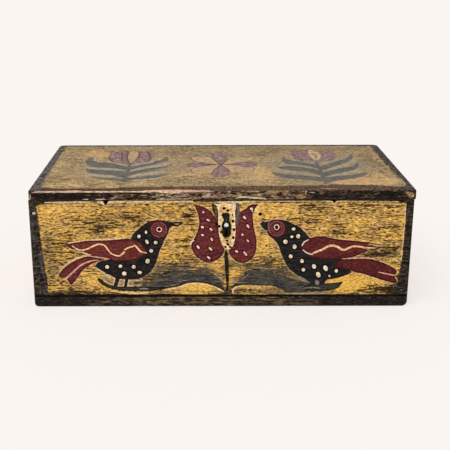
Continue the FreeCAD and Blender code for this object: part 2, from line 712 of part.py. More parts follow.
def lock():
    corners = [
        (f"pin_place + {side} * lock_screw_across", f"{INNER_FRONT} + lock_plate_thickness",
         f"rim_height - {drop}")
        for side in (-1, 1) for drop in ("lock_screw_high", "lock_screw_low")
    ]
    plate_screws, screw_holes = screws("lock_screws", corners, TO_FRONT)
    rivets = group("lock_rivets", rivet_rods("lock_rivet", "0"))
    cased = [lock_case(), key_pin(), rivets, lock_bolt(), lock_spring()]
    return [lock_plate(screw_holes), *cased, plate_screws], screw_holes


# Catch under the lid

def catch():
    """Plate let into the lid, with a staple that hangs into the lock for the bolt's tongue."""
    staple = new_body("catch_staple")
    front = f"({STAPLE_Y} - staple_width / 2)"
    low = f"({LID_LOW} - staple_drop)"
    outline = sketch_on(staple, "YZ_Plane", f"{STAPLE_X} - staple_thickness / 2")
    rectangle(outline, front, low, "staple_width", "staple_drop")
    rectangle(outline, f"{STAPLE_Y} - staple_window / 2", f"{low} + staple_foot", "staple_window",
              "staple_window_height")
    extrude(staple, "Pad", outline, "staple_thickness")
    round_edges(staple, "staple_foot_radius", [
        (STAPLE_X, front, low),
        (STAPLE_X, f"{front} + staple_width", low),
    ])
    tenon = sketch_on(staple, "YZ_Plane", f"{STAPLE_X} - staple_thickness / 2")
    rectangle(tenon, f"{STAPLE_Y} - staple_tenon / 2", f"{LID_LOW} - join_overlap", "staple_tenon",
              "catch_plate_thickness + join_overlap")
    extrude(staple, "Pad", tenon, "staple_thickness")

    plate = new_body("catch_plate_blank")
    sketch = sketch_on(plate, "XY_Plane", LID_LOW)
    left = f"({STAPLE_X} - catch_plate_width / 2)"
    plate_front = f"({STAPLE_Y} - catch_plate_depth / 2)"
    rectangle(sketch, left, plate_front, "catch_plate_width", "catch_plate_depth")
    extrude(plate, "Pad", sketch, "catch_plate_thickness")
    round_edges(plate, "catch_plate_corner", [
        (across, along, f"{LID_LOW} + catch_plate_thickness / 2")
        for across in (left, f"{left} + catch_plate_width")
        for along in (plate_front, f"{plate_front} + catch_plate_depth")
    ])
    screw_places = [(f"{STAPLE_X} + {side} * catch_screw_across", STAPLE_Y, LID_LOW) for side in (-1, 1)]
    catch_screws, screw_holes = screws("catch_screws", screw_places, AS_MADE)
    mortise = block(
        "staple_mortise",
        (f"{STAPLE_X} - staple_thickness / 2 - snug_fit", f"{STAPLE_Y} - staple_tenon / 2 - snug_fit",
         f"{LID_LOW} - cut_margin"),
        ("staple_thickness + 2 * snug_fit", "staple_tenon + 2 * snug_fit",
         "catch_plate_thickness + 2 * cut_margin"),
    )
    catch_plate = cut("catch_plate", plate, mortise, screw_holes)
    bed = block("catch_bed", (left, plate_front, f"{LID_LOW} - cut_margin"),
                ("catch_plate_width", "catch_plate_depth", "catch_plate_thickness + cut_margin"))
    return [staple, catch_plate, catch_screws], [bed, screw_holes]


# The boards, cut for everything that they carry

def wall_boards(front_cutters, back_cutters, end_cutters):
    spans = ("box_width", "wall_thickness", WALL_HEIGHT)
    half_wall = f"bottom_thickness + {WALL_HEIGHT} / 2"
    middle = f"{LEFT} + box_width / 2"
    front = board("front_board_blank", (LEFT, FRONT, "bottom_thickness"), spans)
    round_edges(front, "wall_corner_radius", [(LEFT, FRONT, half_wall), (RIGHT, FRONT, half_wall)])
    round_edges(front, "rim_radius", [(middle, FRONT, "rim_height")])
    back = board("back_board_blank", (LEFT, INNER_BACK, "bottom_thickness"), spans)
    round_edges(back, "wall_corner_radius", [(LEFT, BACK, half_wall), (RIGHT, BACK, half_wall)])
    round_edges(back, "rim_radius", [(middle, BACK, "rim_height")])
    pieces = [cut("front_board", front, *front_cutters), cut("back_board", back, *back_cutters)]
    end_spans = ("wall_thickness", "box_depth - 2 * wall_thickness", WALL_HEIGHT)
    middle_depth = f"{FRONT} + box_depth / 2"
    for side, left, outside in (("left", LEFT, LEFT), ("right", f"{RIGHT} - wall_thickness", RIGHT)):
        end = board(f"{side}_end_board_blank", (left, INNER_FRONT, "bottom_thickness"), end_spans)
        round_edges(end, "rim_radius", [(outside, middle_depth, "rim_height")])
        pieces.append(cut(f"{side}_end_board", end, *end_cutters))
    return pieces


def bottom_board(cutters):
    """The two lower ends are rounded first, so the outline of each long face is one smooth run."""
    body = board("bottom_board_blank", (LEFT, FRONT, "0"), ("box_width", "box_depth", "bottom_thickness"))
    middle_depth = f"{FRONT} + box_depth / 2"
    round_edges(body, "foot_left_radius", [(LEFT, middle_depth, "0")])
    round_edges(body, "foot_right_radius", [(RIGHT, middle_depth, "0")])
    low_middle = f"{LEFT} + box_width / 2"
    round_edges(body, "wall_corner_radius", [(low_middle, along, "0") for along in (FRONT, BACK)])
    return cut("bottom_board", body, *cutters)


def lid_board(cutters):
    body = board("lid_board_blank", (LID_LEFT, LID_FRONT, LID_LOW), (LID_WIDTH, LID_DEPTH, "lid_thickness"))
    right = f"{LID_LEFT} + {LID_WIDTH}"
    back = f"{LID_FRONT} + {LID_DEPTH}"
    middle = f"{LID_LEFT} + {LID_WIDTH} / 2"
    half = f"{LID_LOW} + lid_thickness / 2"
    round_edges(body, "lid_front_corner", [(LID_LEFT, LID_FRONT, half), (right, LID_FRONT, half)])
    round_edges(body, "lid_back_corner", [(LID_LEFT, back, half), (right, back, half)])
    round_edges(body, "lid_top_radius", [(middle, LID_FRONT, LID_TOP)])
    round_edges(body, "lid_low_radius", [(middle, LID_FRONT, LID_LOW)])
    old_nail_holes = [
        rod(f"old_nail_hole_{side}", (across, f"{LID_FRONT} - cut_margin", f"{LID_LOW} + old_nail_rise"),
            TO_BACK, "old_nail_radius", "old_nail_length + cut_margin")
        for side, across in (("left", "-left_nick_place"), ("right", "right_nick_place"))
    ]
    return cut("lid_board", body, *old_nail_holes, *cutters)


def lid_plug():
    """Wooden plug in the lid's front edge and the hole that it fills."""
    at = ("-plug_place", LID_FRONT, f"{LID_LOW} + lid_thickness / 2")
    plug = rod("lid_edge_plug", at, TO_BACK, "plug_radius", "plug_length")
    hole = rod("lid_edge_plug_hole", at, TO_BACK, "plug_radius + snug_fit", "plug_length + snug_fit")
    return plug, hole


def build():
    (front_nails, front_holes), (back_nails, back_holes) = wall_nails()
    under_nails, under_holes = bottom_nails()
    lock_pieces, lock_holes = lock()
    catch_pieces, catch_cutters = catch()
    plug, plug_hole = lid_plug()
    hinge_pieces = []
    back_cutters = [back_holes, under_holes]
    lid_cutters = [plug_hole, *catch_cutters]
    for side, middle in (("left", "-hinge_place"), ("right", "hinge_place")):
        pieces, from_back, from_lid = hinge(side, middle)
        hinge_pieces += pieces
        back_cutters += from_back
        lid_cutters += from_lid
    front_cutters = [
        front_holes, under_holes, keyhole(), *lock_bed(), lock_holes,
        nick("left_nick", "-left_nick_place", "left_nick_width", "left_nick_drop"),
        nick("right_nick", "right_nick_place", "right_nick_width", "right_nick_drop"),
    ]
    boards = [
        *wall_boards(front_cutters, back_cutters, [front_holes, back_holes, under_holes]),
        bottom_board([under_holes]),
        lid_board(lid_cutters),
    ]
    return [*boards, plug, front_nails, back_nails, under_nails, *hinge_pieces, *lock_pieces, *catch_pieces]


def check(pieces):
    """Stop if any object failed or any piece isn't a sound solid."""
    for item in document.Objects:
        if {"Invalid", "Error"} & set(item.State):
            raise RuntimeError(f"{item.Label} failed: {item.State}")
    for piece in pieces:
        if piece.Shape.isNull() or not piece.Shape.isValid() or not piece.Shape.Solids:
            raise RuntimeError(f"{piece.Label} isn't a valid solid")


nodes = build()
document.recompute()
check(nodes)
os.makedirs("parts", exist_ok=True)
for node in nodes:
    node.Shape.exportStep(f"parts/{node.Label}.step")
    bounds = node.Shape.BoundBox
    print(
        f"{node.Label:26} solids {len(node.Shape.Solids):2}  "
        f"x {bounds.XMin:8.2f} {bounds.XMax:8.2f}  y {bounds.YMin:7.2f} {bounds.YMax:7.2f}  "
        f"z {bounds.ZMin:7.2f} {bounds.ZMax:7.2f}"
    )
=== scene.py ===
"""An old nailed box in worn folk paint: the finish of its boards and irons, and the stage it stands on."""

import json
import math

import bmesh
import bpy
import numpy as np
from mathutils import Matrix, Vector


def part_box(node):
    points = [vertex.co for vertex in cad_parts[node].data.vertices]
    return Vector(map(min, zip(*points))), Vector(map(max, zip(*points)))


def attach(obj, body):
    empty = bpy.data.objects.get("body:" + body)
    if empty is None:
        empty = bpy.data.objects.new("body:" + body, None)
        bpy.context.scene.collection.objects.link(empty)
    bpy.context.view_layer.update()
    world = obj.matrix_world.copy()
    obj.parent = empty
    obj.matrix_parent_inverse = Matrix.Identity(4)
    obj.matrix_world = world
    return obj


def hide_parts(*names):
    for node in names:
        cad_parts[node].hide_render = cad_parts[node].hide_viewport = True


bl_info = {
    "name": "Painted Box",
    "version": (1, 0, 0),
    "blender": (4, 5, 0),
    "location": "3D View > Sidebar > Painted Box",
    "description": "Finishes a nailed wooden box with worn folk paint, aged pine and dark iron",
    "category": "Add Mesh",
}

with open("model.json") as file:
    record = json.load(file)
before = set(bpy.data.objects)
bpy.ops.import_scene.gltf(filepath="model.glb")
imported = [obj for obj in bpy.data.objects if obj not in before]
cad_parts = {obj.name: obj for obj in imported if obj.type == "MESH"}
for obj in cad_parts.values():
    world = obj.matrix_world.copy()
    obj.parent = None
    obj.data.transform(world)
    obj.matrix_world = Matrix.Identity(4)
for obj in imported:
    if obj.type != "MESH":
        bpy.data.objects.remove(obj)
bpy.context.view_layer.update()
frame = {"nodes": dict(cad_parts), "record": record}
nodes = frame["nodes"]

MM = 0.001
X_AXIS, Y_AXIS, Z_AXIS = range(3)

# The boards' faces, read from the frame, in millimetres
FRONT_LOW, FRONT_HIGH = (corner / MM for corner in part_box("front_board"))
LID_LOW, LID_HIGH = (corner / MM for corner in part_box("lid_board"))
BOTTOM_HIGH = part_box("bottom_board")[1] / MM


def linear(red, green, blue):
    """A colour as a paint chart gives it, from 0 to 255, made linear."""
    return tuple(
        value / 12.92 if value <= 0.04045 else ((value + 0.055) / 1.055) ** 2.4
        for value in (red / 255, green / 255, blue / 255)
    )


def colour_setting(name, description, red, green, blue):
    """A colour that the sidebar can change."""
    default = linear(red, green, blue)
    return bpy.props.FloatVectorProperty(
        name=name, description=description, subtype="COLOR", size=3, min=0, max=1, default=default
    )


class BoxPaintSettings(bpy.types.PropertyGroup):
    """Colours of the paints, and how worn they are."""

    ochre: colour_setting("Ochre", "The panels' ochre where it is thick and clean", 216, 169, 80)
    ochre_worn: colour_setting("Worn ochre", "The ochre where it is rubbed and dirty", 184, 147, 90)
    ochre_olive: colour_setting("Olive", "The ochre where the black shows through it", 118, 90, 46)
    # The lid's ochres are paler, greyer copies of the front's: their grey is a painted sheen of the lid's
    # top.
    lid_ochre: colour_setting("Lid ochre", "The lid's ochre where it is clean", 198, 166, 114)
    lid_ochre_worn: colour_setting("Worn lid ochre", "The lid's ochre under its grey dust", 166, 140, 98)
    lid_olive: colour_setting("Lid olive", "The lid's ochre where the black shows through", 128, 106, 72)
    undercoat: colour_setting("Black", "The black that lies under the ochre and borders it", 26, 20, 16)
    border_brown: colour_setting("Border brown", "The brown that shows through the black borders", 80, 71, 62)
    leaf: colour_setting("Leaf", "The grey-green of leaves and stems", 74, 68, 58)
    leaf_pale: colour_setting("Pale leaf", "Where the brush ran dry in a leaf", 108, 98, 80)
    red: colour_setting("Red", "The dark red of wings, heads and tulips", 103, 45, 42)
    red_plum: colour_setting("Plum", "The red where it leans to purple", 86, 36, 48)
    bird_black: colour_setting("Bird black", "The birds' bodies", 28, 26, 28)
    cream: colour_setting("Cream", "The petal round the keyhole", 238, 210, 154)
    dot: colour_setting("Dots", "The birds' dots", 240, 224, 196)
    dash: colour_setting("Dashes", "The wave on the birds' wings", 236, 178, 132)
    dash_pale: colour_setting("Pale dashes", "The dashes on the tulip", 242, 202, 186)
    purple: colour_setting("Purple", "The lid's faded purple petals", 122, 90, 92)
    purple_pale: colour_setting("Pale purple", "Where the purple is worn", 152, 126, 124)
    flower: colour_setting("Flower ochre", "The ochre petals on the lid", 178, 146, 108)
    halo: colour_setting("Halo", "The pale line round each motif", 222, 184, 142)
    pitch: bpy.props.FloatProperty(
        name="Pitch", description="Spacing of the mesh that carries the painting", default=0.75 * MM,
        min=0.5 * MM, max=4 * MM, unit="LENGTH",
    )
    wobble: bpy.props.FloatProperty(
        name="Wobble", description="How far a brushed edge wanders, in millimetres", default=0.7, min=0, max=3
    )


class BoxWoodSettings(bpy.types.PropertyGroup):
    """Colours of the bare pine."""

    pine: colour_setting("Pine", "Aged pine inside the box", 150, 112, 70)
    pine_dark: colour_setting("Pine grain", "Late wood and stains", 92, 62, 38)
    bare: colour_setting("Bare wood", "Wood bared by wear on the outside", 214, 184, 142)


class BoxIronSettings(bpy.types.PropertyGroup):
    """Colours of the irons."""

    iron: colour_setting("Iron", "Dark skin of the hinges and screws", 74, 68, 64)
    # The lock's iron is blackened, and darkened further as painted shade for the lock seen inside the
    # keyhole.
    lock: colour_setting("Lock iron", "Blackened iron of the lock and its catch", 26, 23, 22)
    rust: colour_setting("Rust", "Rust in the pits", 104, 62, 38)
    bright: colour_setting("Rubbed iron", "Iron rubbed bright", 196, 192, 186)
    blued: colour_setting("Blued steel", "The lock's spring", 92, 98, 112)


class BoxStageSettings(bpy.types.PropertyGroup):
    """The floor, the light and the camera."""

    backdrop: colour_setting("Backdrop", "Colour of the floor and of what lies behind", 252, 247, 244)
    world_light: bpy.props.FloatProperty(
        name="Sky", description="Strength of the even light from all round", default=0.56, min=0, max=2
    )
    key_light: bpy.props.FloatProperty(
        name="Key", description="Strength of the soft lamp from the front", default=1.62, min=0, max=10
    )
    shadow: bpy.props.FloatProperty(
        name="Shadow", description="How much of its shadow the floor shows", default=0.32, min=0, max=1,
        subtype="FACTOR",
    )
    floor_size: bpy.props.FloatProperty(
        name="Floor", description="Width of the floor", default=40, min=1, max=200, unit="LENGTH"
    )


def paints():
    return bpy.context.scene.box_paint


def woods():
    return bpy.context.scene.box_wood


def irons():
    return bpy.context.scene.box_iron


def mix_of(first, second, share):
    """A colour between two, worked out here because it is the same all over."""
    return tuple(a + (b - a) * share for a, b in zip(first, second))


# Shader nodes written as Python expressions


class Wire:
    """One output of a node. Arithmetic on wires adds Math nodes."""

    def __init__(self, shader, socket):
        self.shader = shader
        self.socket = socket

    def __add__(self, other):
        return self.shader.math("ADD", self, other)

    def __sub__(self, other):
        return self.shader.math("SUBTRACT", self, other)

    def __mul__(self, other):
        return self.shader.math("MULTIPLY", self, other)

    def __rsub__(self, other):
        return self.shader.math("SUBTRACT", other, self)

    def __abs__(self):
        return self.shader.math("ABSOLUTE", self)

    __radd__ = __add__
    __rmul__ = __mul__


class Shader:
    """A tree of shader nodes."""

    def __init__(self, tree):
        self.tree = tree
        self.tree.nodes.clear()

    def add(self, kind, settings=None, inputs=None):
        """Adds a node, sets it, then gives its sockets values or links."""
        added = self.tree.nodes.new(kind)
        for name, value in (settings or {}).items():
            setattr(added, name, value)
        for name, value in (inputs or {}).items():
            socket = added.inputs[name]
            if isinstance(value, Wire):
                self.tree.links.new(value.socket, socket)
            elif socket.type == "RGBA":
                socket.default_value = (*value[:3], 1)
            else:
                socket.default_value = value
        return added

    def node(self, kind, settings=None, inputs=None, output=0):
        """Adds a node and takes one of its outputs."""
        return Wire(self, self.add(kind, settings, inputs).outputs[output])

    def math(self, operation, *values):
        return self.node("ShaderNodeMath", {"operation": operation}, dict(enumerate(values)))

    def larger(self, first, *others):
        for other in others:
            first = self.math("MAXIMUM", first, other)
        return first

    def smaller(self, first, *others):
        for other in others:
            first = self.math("MINIMUM", first, other)
        return first

    def rise(self, value, low, high):
        """0 below low, 1 above high, and smooth between them."""
        settings = {"interpolation_type": "SMOOTHSTEP"}
        return self.node("ShaderNodeMapRange", settings, {"Value": value, "From Min": low, "From Max": high})

    def within(self, value, low, high, soft):
        """1 between low and high, with soft edges."""
        return self.rise(value, low - soft, low + soft) * (1 - self.rise(value, high - soft, high + soft))

    def blend(self, below, above, mask):
        """Lays one colour over another where the mask is 1."""
        colour_a, colour_b, colour_result = 6, 7, 2
        inputs = {0: mask, colour_a: below, colour_b: above}
        return self.node("ShaderNodeMix", {"data_type": "RGBA"}, inputs, colour_result)

    def seen_share(self):
        """1 for rays from the eye and for what is mirrored or seen through glass."""
        rays = ("Is Camera Ray", "Is Glossy Ray", "Is Transmission Ray")
        return self.larger(*(self.node("ShaderNodeLightPath", output=ray) for ray in rays))


class Finish(Shader):
    """A material's nodes. Places are in millimetres."""

    def __init__(self, name, grain=X_AXIS):
        self.material = bpy.data.materials.new(name)
        self.material.use_nodes = True
        super().__init__(self.material.node_tree)
        self.grain = grain
        self.place = self.scaled(self.node("ShaderNodeTexCoord", output="Object"), 1 / MM)
        self.x, self.y, self.z = (
            self.node("ShaderNodeSeparateXYZ", inputs={0: self.place}, output=axis) for axis in "XYZ"
        )

    def scaled(self, vector, factor):
        return self.node("ShaderNodeVectorMath", {"operation": "SCALE"}, {0: vector, "Scale": factor})

    def noise(self, size, detail=3, roughness=0.55, place=None):
        """Noise in patches of about a size."""
        inputs = {"Vector": place or self.place, "Scale": 1 / size, "Detail": detail, "Roughness": roughness}
        return self.node("ShaderNodeTexNoise", {}, inputs)

    def streak(self, along, across, detail=3, roughness=0.55, axis=None):
        """Noise in streaks that are so long along the grain, or along another axis, and so thick."""
        sizes = [1 / across] * 3
        sizes[self.grain if axis is None else axis] = 1 / along
        place = self.node("ShaderNodeVectorMath", {"operation": "MULTIPLY"}, {0: self.place, 1: sizes})
        return self.noise(1, detail, roughness, place)

    def finish(self, colour, roughness, height, metallic=0.0, specular=0.4):
        """Ends the nodes in a surface. Height is in millimetres."""
        bump = self.node("ShaderNodeBump", {}, {"Strength": 1.0, "Distance": MM, "Height": height})
        inputs = {"Base Color": colour, "Roughness": roughness, "Metallic": metallic}
        inputs.update({"Specular IOR Level": specular, "Normal": bump})
        surface = self.node("ShaderNodeBsdfPrincipled", {}, inputs)
        self.add("ShaderNodeOutputMaterial", {}, {"Surface": surface})
        return self.material


class Paint(Finish):
    """Worn paint on a board: its brush marks, the layers drawn on it and its colour so far."""

    def __init__(self, name, grain=X_AXIS, prefix="", thick=1.0, length=1.0):
        super().__init__(name, grain)
        self.prefix = prefix
        self.fleck = self.streak(4.8 * length, 1.6 * thick, roughness=0.6)
        self.fine = self.streak(12 * length, 1.5 * thick, roughness=0.6)
        self.long = self.streak(40 * length, 1.6 * thick)
        self.broad = self.streak(34, 14, 2, 0.5)
        self.light = self.streak(7 * length, 1.5 * thick, 2, 0.6)
        self.mixed = self.fine * 0.5 + self.fleck * 0.5
        self.off = self.wandering()

    def wandering(self):
        """How far brushed edges are off their line, in millimetres."""
        amount = paints().wobble
        return (self.noise(3.2, 2) - 0.5) * amount * 1.2 + (self.noise(0.9, 2) - 0.5) * amount * 0.8

    def layer(self, *names):
        """How deep a place lies inside a layer, or inside any of some, in millimetres."""
        chosen = [{"attribute_name": self.prefix + name} for name in names]
        return self.larger(*(self.node("ShaderNodeAttribute", setting, output="Fac") for setting in chosen))

    def edge(self, name, wander, soft=0.16, shift=0.0):
        """A layer's mask, with an edge that wanders as a brush does."""
        return self.rise(self.layer(name) + self.off * wander + shift, -soft, soft)

    def band(self, name, wander, low, high, soft):
        """The mask of a strip along a layer's edge, between two depths."""
        return self.within(self.layer(name) + self.off * wander, low, high, soft)

    def coat(self, colour, mask):
        """Lays a colour over the colour so far where the mask is 1."""
        self.colour = self.blend(self.colour, colour, mask)

    def strokes(self, colour, second, along, across, share, axis=None):
        """A paint in two shades, laid in strokes."""
        tone = self.streak(along, across, 4, 0.6, axis)
        return self.blend(colour, second, self.rise(tone, 0.40, 0.66) * share)

    def brush_ochre(self, brush, warm, clean, worn, olive):
        """Ochre dry-brushed over black: the colour so far, and how bare the black is left."""
        cover = brush * 0.6 + (self.broad - 0.5) * 0.12
        tone = self.streak(18, 6, 4, 0.6) + warm * 0.14 - cover * 1.4 - (self.long - 0.5) * 0.5
        self.colour = self.blend(worn, clean, self.rise(tone, 0.38, 0.62))
        self.coat(mix_of(clean, linear(240, 210, 144), 0.6), self.rise(self.light - cover, 0.54, 0.60) * 0.42)
        self.coat(olive, self.rise(self.mixed + cover, 0.50, 0.55) * 0.5)
        short = self.rise(self.fleck + cover, 0.575, 0.605)
        long = self.rise(self.long * 0.5 + self.fine * 0.5 + cover * 1.2, 0.56, 0.585)
        self.bare = self.larger(short, long)

    def black(self):
        """Black undercoat, rubbed brown in streaks."""
        worn = self.rise(self.fine * 0.6 + self.fleck * 0.4, 0.46, 0.60)
        black = self.blend(paints().undercoat, paints().border_brown, worn * 0.8)
        specks = self.rise(self.streak(6, 2, 3, 0.7), 0.60, 0.70)
        return self.blend(black, linear(150, 130, 104), specks * 0.7)

    def lay_panel(self, black, edge):
        """Makes the colour so far a panel on the black."""
        self.panel = edge
        self.colour = self.blend(black, self.colour, edge)

    def grit(self, along=3.2, across=1.5, amount=0.5):
        """Fine light and dark scratches over the colour so far."""
        gain = 1 - amount * 0.55 + self.rise(self.streak(along, across, 1, 0.5), 0.38, 0.58) * amount
        self.colour = self.scaled(self.colour, gain)

    def relief(self):
        """The height of the brush marks, lower where the black is bare."""
        return self.fine * 0.10 + self.fleck * 0.05 + self.panel * 0.04 - self.bare * 0.05

    def raised(self, names, wander):
        """The height of the paint in some layers."""
        return self.rise(self.layer(*names) + self.off * wander, -0.4, 0.4) * 0.06


# Painted layers: the motifs are drawn as smooth outlines, in millimetres on the board's face

CORNER = True
FAR = 30.0  # how deep outside a layer its unpainted places are held to lie


def smooth_line(points, closed, steps=8):
    """Points along a smooth curve through the given ones, which breaks at those marked CORNER."""
    count = len(points)
    spans = count if closed else count - 1
    ends = np.array([point[:2] for point in points], float)
    sharp = [len(point) > 2 and point[2] is CORNER for point in points]
    if not closed:
        sharp[0] = sharp[-1] = True
    share = np.linspace(0, 1, steps, endpoint=False)[:, None]
    line = []
    for index in range(spans):
        following = (index + 1) % count
        start, end = ends[index], ends[following]
        before = 2 * start - end if sharp[index] else ends[index - 1]
        after = 2 * end - start if sharp[following] else ends[(index + 2) % count]
        curve = 2 * start + (end - before) * share + (2 * before - 5 * start + 4 * end - after) * share**2
        curve += (3 * start - before - 3 * end + after) * share**3
        line.append(curve / 2)
    if not closed:
        line.append(ends[-1:])
    return np.concatenate(line)


class Canvas:
    """A board's painted face: the places on it, and how deep each lies in each layer."""

    def __init__(self, across, up):
        self.across = across
        self.up = up
        self.layers = {}

    def near(self, low, high):
        """Which places lie in a rectangle, with a margin round it."""
        margin = 6
        inside = (self.across > low[0] - margin) & (self.across < high[0] + margin)
        return np.flatnonzero(inside & (self.up > low[1] - margin) & (self.up < high[1] + margin))

    def keep(self, layer, where, depth):
        """Adds a shape to a layer: what is in either is in both."""
        held = self.layers.setdefault(layer, np.full(len(self.across), -FAR))
        held[where] = np.maximum(held[where], depth)

    def distances(self, line, where):
        """From each place to a broken line: the distance, the nearest span and the share along it."""
        place = np.stack([self.across[where], self.up[where]], 1)
        best = np.full(len(where), np.inf)
        span = np.zeros(len(where), int)
        share = np.zeros(len(where))
        for index in range(len(line) - 1):
            start, run = line[index], line[index + 1] - line[index]
            length = max(run @ run, 1e-9)
            along = np.clip((place - start) @ run / length, 0, 1)
            distance = np.hypot(*(place - start - along[:, None] * run).T)
            closer = distance < best
            best[closer] = distance[closer]
            span[closer] = index
            share[closer] = along[closer]
        return best, span, share

    def area(self, layer, points):
        """A closed shape."""
        line = smooth_line(points, closed=True)
        line = np.concatenate([line, line[:1]])
        where = self.near(line.min(0), line.max(0))
        distance = self.distances(line, where)[0]
        across, up = self.across[where], self.up[where]
        inside = np.zeros(len(where), bool)
        for (x_from, y_from), (x_to, y_to) in zip(line[:-1], line[1:]):
            if y_from != y_to:
                crosses = (y_from > up) != (y_to > up)
                inside ^= crosses & (across < x_from + (up - y_from) * (x_to - x_from) / (y_to - y_from))
        self.keep(layer, where, np.where(inside, distance, -distance))

    def stroke(self, layer, points):
        """A brush stroke through points that each give its width there."""
        steps = 8
        line = smooth_line([point[:2] for point in points], closed=False, steps=steps)
        stations = np.arange(len(line)) / steps
        halves = np.interp(stations, np.arange(len(points)), [point[2] / 2 for point in points])
        where = self.near(line.min(0), line.max(0))
        distance, span, share = self.distances(line, where)
        self.keep(layer, where, halves[span] + (halves[span + 1] - halves[span]) * share - distance)

    def dot(self, layer, across, up, wide, tall=None, tilt=0.0):
        """A round or oval dab, given by its radii and how far it leans, in degrees."""
        tall = tall or wide
        middle, reach = np.array([across, up]), wide + tall
        where = self.near(middle - reach, middle + reach)
        right, rise = self.across[where] - across, self.up[where] - up
        cosine, sine = math.cos(math.radians(tilt)), math.sin(math.radians(tilt))
        radius = np.hypot((right * cosine + rise * sine) / wide, (rise * cosine - right * sine) / tall)
        self.keep(layer, where, (1 - radius) * min(wide, tall))

    def areas(self, layer, shapes):
        """Several closed shapes."""
        for points in shapes:
            self.area(layer, points)

    def strokes(self, layer, lines):
        """Several brush strokes."""
        for points in lines:
            self.stroke(layer, points)

    def dots(self, layer, dabs):
        """Several dabs."""
        for dab in dabs:
            self.dot(layer, *dab)

    def shade(self, layer, patches):
        """A soft field: each patch gives its middle, its half sizes and its strength."""
        field = self.layers.setdefault(layer, np.zeros(len(self.across)))
        for across, up, wide, tall, strength in patches:
            field += strength * np.exp(-(((self.across - across) / wide) ** 2 + ((self.up - up) / tall) ** 2))

    def store(self, mesh, chosen, prefix):
        """Writes the layers to the mesh's points."""
        for name, values in self.layers.items():
            attribute = mesh.attributes.new(prefix + name, "FLOAT", "POINT")
            held = np.full(len(mesh.vertices), -FAR, np.float32)
            held[chosen] = values
            attribute.data.foreach_set("value", held)


# What is painted on the front board: across is x and up is z


def paint_left_bird(canvas):
    canvas.areas("bird", [
        [(-123, 43.4, CORNER), (-120, 47), (-115.7, 49.3), (-110.7, 50), (-98, 56), (-88, 66), (-87, 73),
         (-83.5, 78), (-79.3, 82), (-74.7, 85.9), (-70, 88.7), (-65.3, 90), (-57, 90), (-51.5, 87),
         (-50.8, 80), (-52.3, 75), (-54.5, 71), (-57.5, 64), (-59.8, 59), (-62.9, 49), (-64.6, 44.1),
         (-67.1, 40.2), (-69.3, 37), (-72.9, 34.1), (-75.7, 32), (-78.6, 30.6), (-84, 29.2), (-97, 29.5),
         (-103.6, 30.6), (-109.3, 33.4), (-115.7, 36.6), (-120.7, 40.2)],
        [(-56, 89.9), (-52, 88.9), (-48, 88.6), (-45.2, 87.4), (-46, 85.6), (-48, 83.6), (-50, 81.8),
         (-51.5, 79.5)],
    ])
    canvas.strokes("bird", [
        [(-46, 87.7, 1.8), (-42, 87.8, 1.4), (-37.6, 88.2, 1.2)],
        [(-45.8, 85, 1.8), (-42.5, 84.7, 1.5), (-39.8, 86, 1.8), (-37.8, 88, 1.2)],
        [(-101.4, 30.5, 4.2), (-102.4, 27, 3.8), (-103.8, 22.5, 3.6)],
        [(-92.3, 30, 3.2), (-93.2, 26, 2.9), (-94.2, 21.2, 2.7)],
    ])
    canvas.areas("red", [
        [(-151, 64.3, CORNER), (-149.5, 65.8), (-140, 68), (-128, 69.5), (-110, 70), (-93.3, 71.3),
         (-86.7, 71), (-80, 68.7), (-76, 65.3), (-73.5, 61.3), (-73.3, 57), (-77.3, 52.7), (-83.3, 49.3),
         (-90, 48.7), (-100, 48.4), (-110, 50), (-129, 55), (-133, 58), (-143, 60.5)],
        [(-111, 50.4, CORNER), (-121.5, 51.8), (-130, 53.4), (-140, 50), (-150, 44), (-156, 38),
         (-158.7, 33.5), (-158, 31.8), (-155, 30.9), (-152, 31.3, CORNER), (-147.2, 23.3, CORNER),
         (-143, 28), (-139, 34), (-134, 40), (-128, 44.5), (-122.5, 47.2), (-117, 49.2)],
    ])
    paint_head(canvas, -60.2, 80.7)
    canvas.strokes("split", [
        [(-152, 30.2, 2), (-146, 36, 1.7), (-140, 41.6, 1.7), (-134, 45.8, 1.6), (-126, 48.8, 1.3),
         (-119, 49.4, 0.7)],
        [(-123.5, 53.4, 1.1), (-117, 52, 1.4), (-109, 50.6, 0.9)],
    ])
    canvas.strokes("pale", [
        [(-159.6, 36, 0.8), (-153, 43.6, 1.2), (-144, 49.8, 1.4), (-134, 53.6, 1.4), (-127, 55, 1)],
        [(-122.6, 42, 0.9), (-117, 37.6, 1.5), (-109, 33, 1.3), (-104.6, 31, 0.7)],
        [(-148, 67, 0.8), (-128, 70.2, 1.2), (-108, 70.9, 1.3), (-92, 72.2, 1.2)],
        [(-143, 59.6, 0.7), (-134, 57.6, 1.4), (-128, 54.6, 1.2)],
    ])
    canvas.strokes("dash", [
        [(-144.2, 64.2, 1.1), (-140, 61, 1.3), (-135, 60, 1.4), (-130, 61, 1.4), (-124, 64, 1.6),
         (-118, 66, 1.6), (-113, 64.5, 1.5), (-110, 60.5, 1.4), (-107, 56.5, 1.2), (-103, 54.5, 1.3),
         (-99, 53.8, 1.4), (-96, 56, 2), (-93.9, 58, 1.4)],
        [(-93.7, 60.3, 1.2), (-90, 62.3, 1.5), (-86, 63.5, 1.3), (-83.8, 64.5, 1.5), (-80.7, 61.3, 1.8),
         (-78.2, 58.2, 1.5), (-72.9, 57, 1)],
    ])
    canvas.dots("dot", [
        (-111.3, 42.4, 1.9, 2), (-98.4, 43.1, 1.8, 1.7), (-94.8, 35.4, 2.2, 2.1), (-72.7, 78.2, 1.1, 1.6),
        (-79.5, 73.8, 1.5, 2, -20), (-72, 68.3, 1.3, 2.3, 25), (-63.5, 67.5, 1.8, 1.7), (-68, 59, 1.8),
        (-71.8, 48.4, 2, 2.5, -20), (-85.4, 42.4, 1.9), (-79.8, 36.4, 2.2, 1.7),
    ])
    paint_eye(canvas, -59.9, 80.9, 2.8, 2.7)


